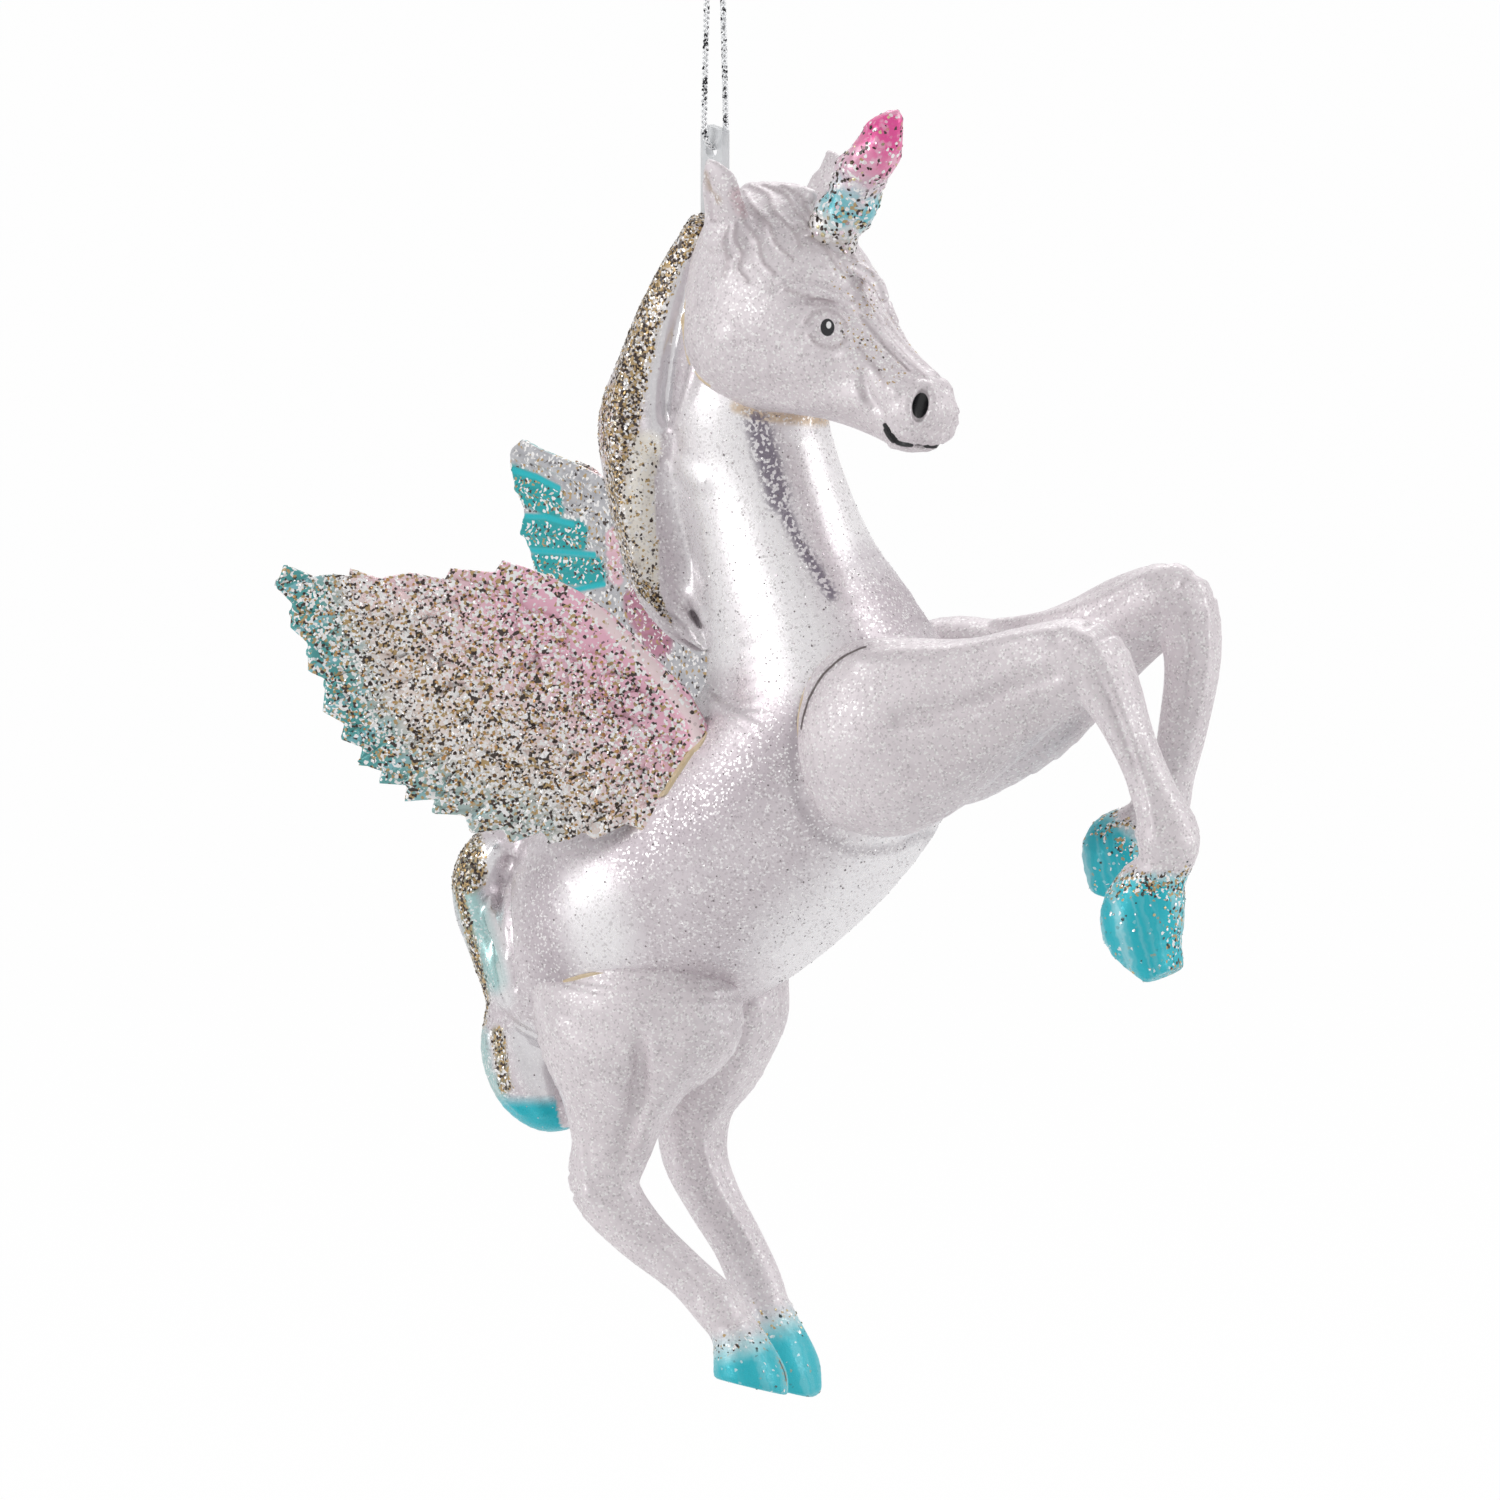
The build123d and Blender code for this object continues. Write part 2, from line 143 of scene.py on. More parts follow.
def smooth_rows(rows, steps):
    """More rows on a smooth curve through the given ones."""
    rows = np.array(rows, float)
    ends = np.vstack([2 * rows[0] - rows[1], rows, 2 * rows[-1] - rows[-2]])
    out = []
    for i in range(len(rows) - 1):
        a, b, c, d = ends[i:i + 4]
        for t in np.arange(steps) / steps:
            out.append(0.5 * (2 * b + (c - a) * t + (2 * a - 5 * b + 4 * c - d) * t**2
                              + (3 * b - a - 3 * c + d) * t**3))
    out.append(rows[-1])
    return np.array(out)


class Clay:
    """A block of clay in mm, held as distances on a grid."""

    def __init__(self, low, high, voxel):
        self.low, self.voxel = np.array(low, float), voxel
        count = np.ceil((np.array(high) - self.low) / voxel).astype(int) + 1
        self.field = np.full(count, FAR, np.float32)

    def patch(self, low, high):
        """The part of the grid between two corners, with its coordinates."""
        first = np.maximum(np.floor((np.array(low) - self.low) / self.voxel).astype(int), 0)
        last = np.minimum(np.ceil((np.array(high) - self.low) / self.voxel).astype(int) + 1, self.field.shape)
        if np.any(last <= first):
            return None, None
        where = tuple(slice(a, b) for a, b in zip(first, last))
        grids = [self.low[k] + self.voxel * np.arange(first[k], last[k], dtype=np.float32) for k in range(3)]
        return where, np.meshgrid(*grids, indexing="ij", sparse=True)

    def whole(self):
        """The coordinates of the whole grid."""
        return self.patch(self.low, self.low + self.voxel * np.array(self.field.shape))[1]

    def limb(self, stations, side_axis=(0, 1, 0), steps=4, cap=0.6, soft=0.0, cut=False):
        """A tapering form through rows of x, y, z, half depth and half width."""
        rows = smooth_rows(stations, steps)
        own = Clay.__new__(Clay)
        own.low, own.voxel = self.low, self.voxel
        own.field = np.full(self.field.shape, FAR, np.float32)
        side_axis = np.array(side_axis, float)
        for a, b in zip(rows[:-1], rows[1:]):
            reach = max(a[3], a[4], b[3], b[4]) + 2.5
            where, grids = own.patch(np.minimum(a[:3], b[:3]) - reach, np.maximum(a[:3], b[:3]) + reach)
            if where is None:
                continue
            step = b[:3] - a[:3]
            length = np.linalg.norm(step)
            along = step / length
            depth_axis = np.cross(along, side_axis)
            depth_axis /= np.linalg.norm(depth_axis)
            width_axis = np.cross(depth_axis, along)
            x, y, z = (grids[k] - a[k] for k in range(3))
            raw = x * along[0] + y * along[1] + z * along[2]
            t = np.clip(raw / length, 0, 1)
            half_depth = a[3] + (b[3] - a[3]) * t
            half_width = a[4] + (b[4] - a[4]) * t
            half_along = cap * np.minimum(half_depth, half_width)
            p = (x * depth_axis[0] + y * depth_axis[1] + z * depth_axis[2]) / half_depth
            q = (x * width_axis[0] + y * width_axis[1] + z * width_axis[2]) / half_width
            r = (raw - t * length) / half_along
            size = np.sqrt(p * p + q * q + r * r)
            slope = np.sqrt((p / half_depth)**2 + (q / half_width)**2 + (r / half_along)**2) + 1e-6
            distance = np.clip(size * (size - 1) / slope, -FAR, FAR).astype(np.float32)
            own.field[where] = np.minimum(own.field[where], distance)
        self.field = (-blend_min(-self.field, own.field, soft) if cut
                      else blend_min(self.field, own.field, soft))

    def stroke(self, points, radii, soft=0.6, cut=False, steps=4):
        """A round stroke through points, laid on the clay or pressed into it."""
        radii = np.broadcast_to(np.array(radii, float), (len(points),))
        rows = np.column_stack([points, radii])
        rows = smooth_rows(rows, steps) if len(rows) > 1 else np.vstack([rows, rows])
        reach = rows[:, 3].max() + max(soft, 0.6) * 1.5
        where, grids = self.patch(rows[:, :3].min(0) - reach, rows[:, :3].max(0) + reach)
        if where is None:
            return
        best = None
        for a, b in zip(rows[:-1], rows[1:]):
            step = b[:3] - a[:3]
            x, y, z = (grids[k] - a[k] for k in range(3))
            t = np.clip((x * step[0] + y * step[1] + z * step[2]) / max(step @ step, 1e-9), 0, 1)
            from_middle = np.sqrt((x - t * step[0])**2 + (y - t * step[1])**2 + (z - t * step[2])**2)
            distance = from_middle - (a[3] + (b[3] - a[3]) * t)
            best = distance if best is None else np.minimum(best, distance)
        best = best.astype(np.float32)
        part = self.field[where]
        self.field[where] = -blend_min(-part, best, soft) if cut else blend_min(part, best, soft)

    def slice_off(self, point, outward, soft=0.5):
        """Cuts the clay flat at a plane."""
        grids = self.whole()
        over = sum((grids[k] - point[k]) * outward[k] for k in range(3))
        self.field = -blend_min(-self.field, -over.astype(np.float32), soft)

    def value(self, points):
        """The distance at any points, between the grid's own."""
        place = (np.atleast_2d(points) - self.low) / self.voxel
        place = np.clip(place, 0, np.array(self.field.shape) - 1.001)
        base = place.astype(int)
        part = place - base
        total = 0
        for corner in np.ndindex(2, 2, 2):
            weight = np.prod(np.where(corner, part, 1 - part), axis=1)
            total = total + weight * self.field[tuple((base + corner).T)]
        return total

    def outward(self, point):
        """The direction out of the clay at a point."""
        step = self.voxel * np.eye(3)
        slope = self.value(point + step) - self.value(point - step)
        return slope / (np.linalg.norm(slope) + 1e-9)

    def seen(self, u, v, sink=0.0):
        """The first point of the clay that shows at a place in the picture, or None."""
        depths = np.arange(-50, 50, 0.1)
        points = picture_point(u, v) + depths[:, None] * INTO
        high = self.low + self.voxel * (np.array(self.field.shape) - 1)
        inside = (points > self.low).all(1) & (points < high).all(1)
        hits = np.flatnonzero((self.value(points) < 0) & inside)
        return None if len(hits) == 0 else points[hits[0]] + INTO * sink

    def under(self, line, radii, proud):
        """Points and radii of a stroke under a line of the picture, standing proud of the clay by so much."""
        radii = np.interp(np.linspace(0, 1, len(line)), np.linspace(0, 1, len(radii)), radii)
        points, kept = [], []
        for (u, v), radius in zip(line, radii):
            point = self.seen(u, v)
            if point is None:
                continue
            if points:
                # a long jump in depth means that the line has run off this piece's edge
                longest = JUMP_MM + 1.5 * radius + math.dist((u, v), last) / PX
                if np.linalg.norm(point - points[-1]) > longest:
                    continue
            points.append(point - self.outward(point) * (radius - proud))
            kept.append(radius)
            last = (u, v)
        return np.array(points), np.array(kept)

    def mesh(self, name):
        """The skin of the clay as a mesh object in metres."""
        grid = openvdb.FloatGrid(FAR)
        grid.copyFromArray(self.field)
        points, quads = grid.convertToQuads(isovalue=0.0)
        points = (points * self.voxel + self.low) * MM
        a, b, c, d = (points[quads[:, k].astype(int)] for k in range(4))
        volume = (a * np.cross(b, c)).sum() + (a * np.cross(c, d)).sum()
        return new_object(name, points, quads if volume > 0 else quads[:, ::-1])


def new_object(name, points, faces):
    """A mesh object of these points and faces, with a smooth skin."""
    data = bpy.data.meshes.new(name)
    faces = np.asarray(faces)
    data.vertices.add(len(points))
    data.vertices.foreach_set("co", np.asarray(points, np.float32).ravel())
    data.loops.add(faces.size)
    data.loops.foreach_set("vertex_index", faces.astype(np.int32).ravel())
    data.polygons.add(len(faces))
    data.polygons.foreach_set("loop_start", np.arange(0, faces.size, faces.shape[1], dtype=np.int32))
    data.update(calc_edges=True)
    data.validate()
    data.shade_smooth()
    print(name, "faces", len(data.polygons))
    return linked(name, data)


print("clay remembers distances up to", FAR, "mm from its surface")

# %% [markdown]
# ## The glass shell
# The body was blown in a mould: neck, mane, rump and tail in one. It is made from the same middle lines and
# half sizes as the CAD solid, as shares of the glass's height. Laying soft strokes on it gives the mane its
# locks and the tail its strands.

# %% Glass shell
GLASS_MM = 100.0
body_rows = [
    (0.03, -0.015, -0.165, 0.064, 0.055), (0.036, -0.015, -0.235, 0.084, 0.07),
    (0.046, -0.01, -0.311, 0.101, 0.085), (0.051, 0.0, -0.38, 0.105, 0.09),
    (0.076, 0.0, -0.455, 0.106, 0.095), (0.104, 0.0, -0.54, 0.119, 0.115),
    (0.139, 0.0, -0.625, 0.142, 0.15), (0.162, 0.0, -0.715, 0.167, 0.18),
    (0.112, 0.0, -0.8, 0.169, 0.195), (0.014, 0.0, -0.882, 0.174, 0.195),
    (-0.089, 0.0, -0.948, 0.171, 0.185), (-0.157, 0.0, -1.027, 0.144, 0.16),
    (-0.196, 0.0, -1.1, 0.094, 0.11), (-0.205, 0.0, -1.138, 0.043, 0.05),
]
mane_rows = [
    (-0.006, -0.01, -0.09, 0.02, 0.035), (-0.027, -0.01, -0.146, 0.033, 0.048),
    (-0.05, -0.015, -0.208, 0.041, 0.058), (-0.072, -0.015, -0.271, 0.046, 0.065),
    (-0.089, -0.015, -0.341, 0.056, 0.07), (-0.08, -0.015, -0.416, 0.056, 0.07),
    (-0.069, -0.015, -0.484, 0.048, 0.07), (-0.054, -0.01, -0.547, 0.042, 0.065),
    (-0.03, -0.01, -0.593, 0.028, 0.055), (-0.008, -0.01, -0.621, 0.011, 0.035),
]
tail_rows = [
    (-0.21, 0.0, -0.875, 0.032, 0.055), (-0.268, 0.0, -0.882, 0.04, 0.065),
    (-0.305, 0.0, -0.913, 0.043, 0.07), (-0.309, 0.0, -0.958, 0.04, 0.07),
    (-0.294, 0.0, -1.004, 0.038, 0.065), (-0.264, 0.0, -1.07, 0.044, 0.065),
    (-0.253, 0.0, -1.128, 0.064, 0.07), (-0.239, 0.0, -1.175, 0.062, 0.065),
    (-0.218, 0.0, -1.21, 0.044, 0.05), (-0.2, 0.0, -1.229, 0.015, 0.03),
]


def placed(rows, unit, root=(0, 0, 0), side=1, to_frame=tuple):
    """Rows of shares as real places and half sizes in mm."""
    out = []
    for forward, outward, up, half_depth, half_width in rows:
        place = (root[0] + forward * unit, side * (root[1] + outward * unit), root[2] + up * unit)
        out.append((*to_frame(place), half_depth * unit, half_width * unit))
    return out


glass = Clay((-37, -22, -151), (35, 22, -31), 0.45)
glass.limb(placed(body_rows, GLASS_MM, TAB_HOLE), cap=0.25)
glass.limb(placed(tail_rows, GLASS_MM, TAB_HOLE), cap=0.4, soft=1.6)
glass.limb(placed(mane_rows, GLASS_MM, TAB_HOLE), cap=0.4, soft=1.2)


def trace(clay, places, sink=0.0):
    """Points on the clay under a line drawn on the picture."""
    points = [clay.seen(u, v, sink) for u, v in places]
    return np.array([point for point in points if point is not None])


# locks of the mane and strands of the tail, drawn on the picture: line, radii, how proud, how soft they join
glass_lines = [
    ([(640, 584), (660, 604), (684, 624), (708, 650)], [0.8, 1.5, 1.3, 0.3], 0.7, 0.4),
    ([(672, 474), (684, 520), (690, 566), (704, 616)], [0.4, 1.7, 1.7, 0.4], 0.2, 2.2),
    ([(652, 446), (640, 484), (638, 530), (650, 572), (676, 606), (706, 640)], [0.5, 1.9, 2.4, 2.0, 1.2, 0.3],
     0.45, 0.8),
    ([(694, 226), (672, 258), (650, 304), (634, 350), (622, 392), (615, 430), (620, 476), (626, 520),
      (638, 564)],
     [0.5, 1.2, 1.7, 1.9, 2.1, 2.0, 1.6, 1.0, 0.3], 0.6, 0.35),
    ([(704, 250), (703, 300), (699, 350), (688, 398), (670, 440)], [0.4, 1.2, 1.5, 1.1, 0.3], 0.6, 0.35),
    ([(700, 238), (684, 264), (668, 306), (658, 350), (652, 394), (654, 424), (664, 448)],
     [0.6, 1.5, 2.1, 2.2, 2.0, 1.6, 0.7], 0.7, 0.4),
    ([(656, 430), (674, 458), (702, 482)], [1.2, 1.4, 0.6], 0.15, 1.8),
    ([(468, 846), (472, 890), (484, 936), (494, 984), (500, 1004)], [0.6, 1.3, 1.5, 1.2, 0.5], 0.5, 0.5),
    ([(492, 850), (490, 900), (500, 950), (510, 996)], [0.5, 1.2, 1.2, 0.4], 0.4, 0.5),
    ([(486, 1036), (492, 1066), (504, 1096), (520, 1114)], [0.6, 1.3, 1.2, 0.5], 0.4, 0.5),
    ([(508, 1026), (514, 1060), (526, 1092), (542, 1116)], [0.6, 1.3, 1.2, 0.5], 0.4, 0.5),
]
tail_groove = ([(508, 862), (506, 900), (508, 940), (514, 990)], [0.5, 0.6, 0.6, 0.5], 0.2, 1.0)
for line, radii, proud, soft in [*glass_lines, tail_groove]:
    points, kept = glass.under(line, radii, proud)
    if len(points) > 2:
        for side in (1, -1):
            glass.stroke(points * np.array([1, side, 1]), kept, soft, cut=line is tail_groove[0])
glass_body = glass.mesh("glass_body_blown")

# %% [markdown]
# ## The head
# The head is a casting with a jaw, a brow, nostrils and hair. It is turned 18 degrees to its right. Lines
# drawn on the picture are laid on the side that shows, and mirrored in the head's own frame for the other.

# %% Head
HEAD_MM = 45.0
HEAD_TURN = math.radians(18)
HEAD_FORWARD = np.array([math.cos(HEAD_TURN), -math.sin(HEAD_TURN), 0.0])
HEAD_LEFT = np.array([math.sin(HEAD_TURN), math.cos(HEAD_TURN), 0.0])


def in_head(point):
    """A point of the head's own frame, in the object's."""
    return TAB_HOLE + HEAD_FORWARD * point[0] + HEAD_LEFT * point[1] + np.array([0, 0, point[2]])


def mirrored(points):
    """The same points on the head's other side."""
    points = np.atleast_2d(points)
    across = (points - TAB_HOLE) @ HEAD_LEFT
    return points - 2 * across[:, None] * HEAD_LEFT


head_rows = [
    (0.03, 0.0, -0.372, 0.24, 0.145), (0.1, 0.0, -0.385, 0.3, 0.205),
    (0.205, 0.0, -0.425, 0.328, 0.245), (0.345, 0.0, -0.48, 0.272, 0.235),
    (0.47, 0.0, -0.55, 0.196, 0.19), (0.585, 0.0, -0.612, 0.148, 0.135),
    (0.69, 0.0, -0.664, 0.124, 0.11), (0.765, 0.0, -0.7, 0.115, 0.11),
    (0.82, 0.0, -0.732, 0.078, 0.082),
]
head = Clay((-8, -27, -65), (42, 17, -22), 0.26)
head.limb(placed(head_rows, HEAD_MM, to_frame=in_head), side_axis=HEAD_LEFT, cap=0.3)
# an ear is a leaf of clay with its cup turned to the side and a little forward
EAR_MM = 8.0
ear_root = np.array([0.175, 0.185, -0.165]) * HEAD_MM
ear_rows = [(0.18, 0.0, -0.4, 0.44, 0.26), (0.22, 0.0, -0.05, 0.44, 0.22), (0.27, 0.163, 0.27, 0.39, 0.17),
            (0.29, 0.256, 0.52, 0.35, 0.13), (0.22, 0.337, 0.74, 0.2, 0.09), (0.15, 0.36, 0.86, 0.06, 0.05)]
cup_rows = [(0.08, 0.2, -0.02, 0.11, 0.1), (0.11, 0.34, 0.27, 0.14, 0.12), (0.1, 0.42, 0.54, 0.09, 0.09)]
for side in (-1, 1):
    head.limb(placed(ear_rows, EAR_MM, ear_root, side, in_head), side_axis=HEAD_LEFT, cap=0.9, soft=0.9)
    cup = placed(cup_rows, EAR_MM, ear_root, side, in_head)
    head.limb(cup, side_axis=HEAD_LEFT, cap=0.8, soft=0.25, cut=True)


def head_stroke(line, radii, proud, soft=0.5, cut=False):
    """A stroke under a line of the picture, on both sides of the head."""
    points, kept = head.under(line, radii, proud)
    if len(points) > 1:
        for way in (points, mirrored(points)):
            head.stroke(way, kept, soft, cut)


def on_middle(u, v):
    """The point of the head's middle plane that shows at a place in the picture."""
    start = picture_point(u, v)
    return start - INTO * ((start - TAB_HOLE) @ HEAD_LEFT) / (INTO @ HEAD_LEFT)


# the flat crown, the forelock's end on the brow and the chin, all on the middle of the head
for line, radius, soft in [
        ([(750, 191), (772, 190), (798, 192), (812, 197)], 0.7, 2.0),
        ([(854, 268), (870, 278), (879, 291), (882, 300)], 0.55, 0.4),
        ([(892, 446), (912, 448), (932, 447)], 0.6, 0.6)]:
    head.stroke([on_middle(u, v) for u, v in line], radius, soft)
# the cheek's round edge, the bones of the face and the hollow above the eye
face_strokes = [
    ([(722, 345), (732, 378), (756, 400), (794, 408), (832, 406), (860, 400)], [1.6, 2.6, 2.4, 2.0, 1.4, 0.6],
     0.2, 2.0),
    ([(846, 356), (872, 374), (894, 394)], [0.8, 1.2, 0.5], 0.3, 1.6),
    ([(852, 318), (876, 344), (904, 370)], [0.5, 0.6, 0.3], 0.18, 0.9),
    ([(868, 316), (890, 346), (922, 378)], [0.4, 0.5, 0.3], 0.15, 0.8),
    ([(858, 318), (882, 346), (908, 372)], [0.2, 0.3, 0.2], 0.12, 0.5, True),
    ([(784, 288), (806, 290), (828, 298), (850, 310)], [0.5, 1.0, 1.0, 0.4], 0.35, 0.9),
    ([(796, 304), (814, 305), (834, 309)], [0.25, 0.35, 0.25], 0.2, 0.5, True),
    ([(772, 294), (790, 284), (816, 286), (842, 296)], [0.2, 0.3, 0.3, 0.15], 0.15, 0.4, True),
    ([(862, 376), (866, 398), (882, 416)], [0.3, 0.45, 0.2], 0.15, 1.0, True),
]
for stroke in face_strokes:
    head_stroke(*stroke)
# the eye between its lids
eye = head.seen(827, 330)
EYE_SOCKET = in_head(np.array([8, 0, -13]))
for place in (eye, mirrored(eye)[0]):
    head.stroke([place - (place - EYE_SOCKET) * 0.1], [1.25], 0.4)
upper_lid = [(805, 325), (811, 317), (819, 313), (828, 312), (838, 317), (847, 329)]
lower_lid = [(809, 338), (817, 347), (829, 351), (840, 348), (847, 340)]
head_stroke(upper_lid, [0.3, 0.5, 0.55, 0.55, 0.5, 0.3], 0.42, 0.15)
head_stroke(lower_lid, [0.25, 0.42, 0.48, 0.42, 0.25], 0.32, 0.2)
head_stroke([(808, 306), (822, 304), (838, 308), (852, 320)], [0.2, 0.28, 0.28, 0.2], 0.2, 0.3, cut=True)
# the nostril in its rim, the lips and the chin
head_stroke([(908, 398), (905, 408), (908, 420), (916, 428)], [0.4, 0.6, 0.6, 0.3], 0.35, 0.5)
head_stroke([(910, 394), (920, 387), (930, 390), (934, 402), (931, 416)], [0.4, 0.6, 0.6, 0.5, 0.3], 0.35,
            0.5)
nostril = head.seen(919, 408)
head_stroke([(922, 398), (919, 408), (917, 418)], [0.8, 1.0, 0.8], 0.55, 0.35, cut=True)
mouth_line = [(884, 427), (889, 437), (897, 445), (908, 447), (926, 448), (943, 449)]
head_stroke(mouth_line, [0.35, 0.55, 0.5, 0.36, 0.3, 0.3], 0.25, 0.2, cut=True)
head_stroke([(898, 434), (914, 440), (936, 441)], [0.5, 0.9, 0.7], 0.25, 0.7)
# the hair between the ears and below them
hair_lines = [
    [(750, 186), (768, 196), (776, 216), (792, 232), (800, 250)],
    [(764, 186), (786, 195), (796, 214), (812, 230)],
    [(782, 187), (800, 198), (808, 214), (816, 234)],
    [(744, 192), (752, 208), (768, 224), (776, 246), (792, 262)],
    [(742, 206), (744, 224), (758, 242), (762, 264), (774, 276)],
    [(736, 226), (734, 240), (742, 256), (738, 272), (748, 284)],
    [(728, 230), (723, 244), (728, 262), (724, 278)],
    [(806, 240), (824, 250), (836, 268), (850, 280)],
    [(818, 236), (838, 248), (856, 262), (872, 276)],
    [(840, 258), (862, 266), (878, 284), (884, 300)],
    [(852, 280), (868, 290), (876, 306), (882, 322)],
]
for line in hair_lines:
    head_stroke(line, [0.3, 0.7, 0.75, 0.6, 0.2][: len(line)], 0.28, 0.3)
head_piece = head.mesh("head_casting")

# %% [markdown]
# ## The legs
# Each leg is a casting: a muscled top, a knee or hock, a thin cannon with its tendons, and a hoof with a
# raised band above it. The hoof's sole is cut flat.

# %% Legs
LEG_MM = 50.0
fore_root = TAB_HOLE + np.array([0.286, 0.135, -0.717]) * GLASS_MM
hind_root = TAB_HOLE + np.array([-0.065, 0.093, -1.068]) * GLASS_MM
leg_tables = {
    "right_foreleg": (fore_root, -1, [
        (-0.19, -0.01, -0.04, 0.14, 0.08), (-0.12, 0.0, -0.03, 0.21, 0.12), (0.0, 0.0, 0.0, 0.25, 0.15),
        (0.13, -0.01, 0.04, 0.224, 0.15), (0.28, -0.02, 0.1, 0.168, 0.13), (0.42, -0.03, 0.17, 0.128, 0.11),
        (0.54, -0.03, 0.2, 0.11, 0.1), (0.605, -0.03, 0.14, 0.079, 0.084), (0.665, -0.03, 0.02, 0.056, 0.064),
        (0.725, -0.03, -0.11, 0.056, 0.06), (0.765, -0.03, -0.22, 0.078, 0.08),
        (0.75, -0.03, -0.31, 0.06, 0.066),
    ], [
        (0.75, -0.03, -0.31, 0.064, 0.07), (0.715, -0.03, -0.36, 0.092, 0.092),
        (0.695, -0.03, -0.45, 0.102, 0.108), (0.755, -0.03, -0.565, 0.045, 0.08),
    ]),
    "left_foreleg": (fore_root, 1, [
        (-0.26, -0.01, -0.04, 0.15, 0.08), (-0.17, 0.0, -0.02, 0.215, 0.13), (-0.02, 0.0, 0.03, 0.235, 0.15),
        (0.16, -0.01, 0.08, 0.189, 0.13), (0.33, -0.02, 0.185, 0.138, 0.11), (0.48, -0.03, 0.285, 0.112, 0.1),
        (0.585, -0.03, 0.315, 0.094, 0.096), (0.625, -0.03, 0.19, 0.071, 0.08),
        (0.6, -0.03, 0.01, 0.061, 0.064), (0.57, -0.03, -0.11, 0.056, 0.064),
        (0.54, -0.03, -0.19, 0.069, 0.08), (0.49, -0.03, -0.25, 0.062, 0.07),
    ], [
        (0.5, -0.03, -0.25, 0.066, 0.074), (0.475, -0.03, -0.27, 0.087, 0.092),
        (0.43, -0.03, -0.32, 0.1, 0.108), (0.4, -0.03, -0.415, 0.042, 0.08),
    ]),
    "right_hind_leg": (hind_root, -1, [
        (0.0, 0.0, 0.09, 0.225, 0.15), (-0.005, 0.0, 0.0, 0.29, 0.18), (-0.04, 0.0, -0.13, 0.228, 0.16),
        (-0.055, 0.0, -0.24, 0.152, 0.12), (-0.07, 0.0, -0.35, 0.105, 0.092),
        (-0.09, 0.0, -0.46, 0.088, 0.084), (0.0, 0.0, -0.57, 0.069, 0.068), (0.13, 0.0, -0.67, 0.056, 0.06),
        (0.22, 0.0, -0.75, 0.061, 0.07), (0.27, 0.0, -0.82, 0.05, 0.06),
    ], [
        (0.27, 0.0, -0.81, 0.058, 0.066), (0.285, 0.0, -0.85, 0.07, 0.084),
        (0.31, 0.0, -0.93, 0.09, 0.104), (0.325, 0.0, -0.99, 0.08, 0.09),
    ]),
    "left_hind_leg": (hind_root, 1, [
        (0.06, 0.0, 0.08, 0.18, 0.15), (0.04, 0.0, -0.04, 0.194, 0.17), (0.02, 0.0, -0.17, 0.153, 0.14),
        (-0.01, 0.0, -0.29, 0.097, 0.11), (-0.01, 0.0, -0.41, 0.082, 0.09), (0.04, 0.0, -0.52, 0.069, 0.08),
        (0.11, 0.0, -0.63, 0.064, 0.068), (0.16, 0.0, -0.73, 0.066, 0.064), (0.2, 0.0, -0.82, 0.054, 0.064),
    ], [
        (0.195, 0.0, -0.8, 0.058, 0.066), (0.21, 0.0, -0.85, 0.068, 0.084),
        (0.245, 0.0, -0.94, 0.078, 0.104), (0.262, 0.0, -1.0, 0.07, 0.088),
    ]),
}
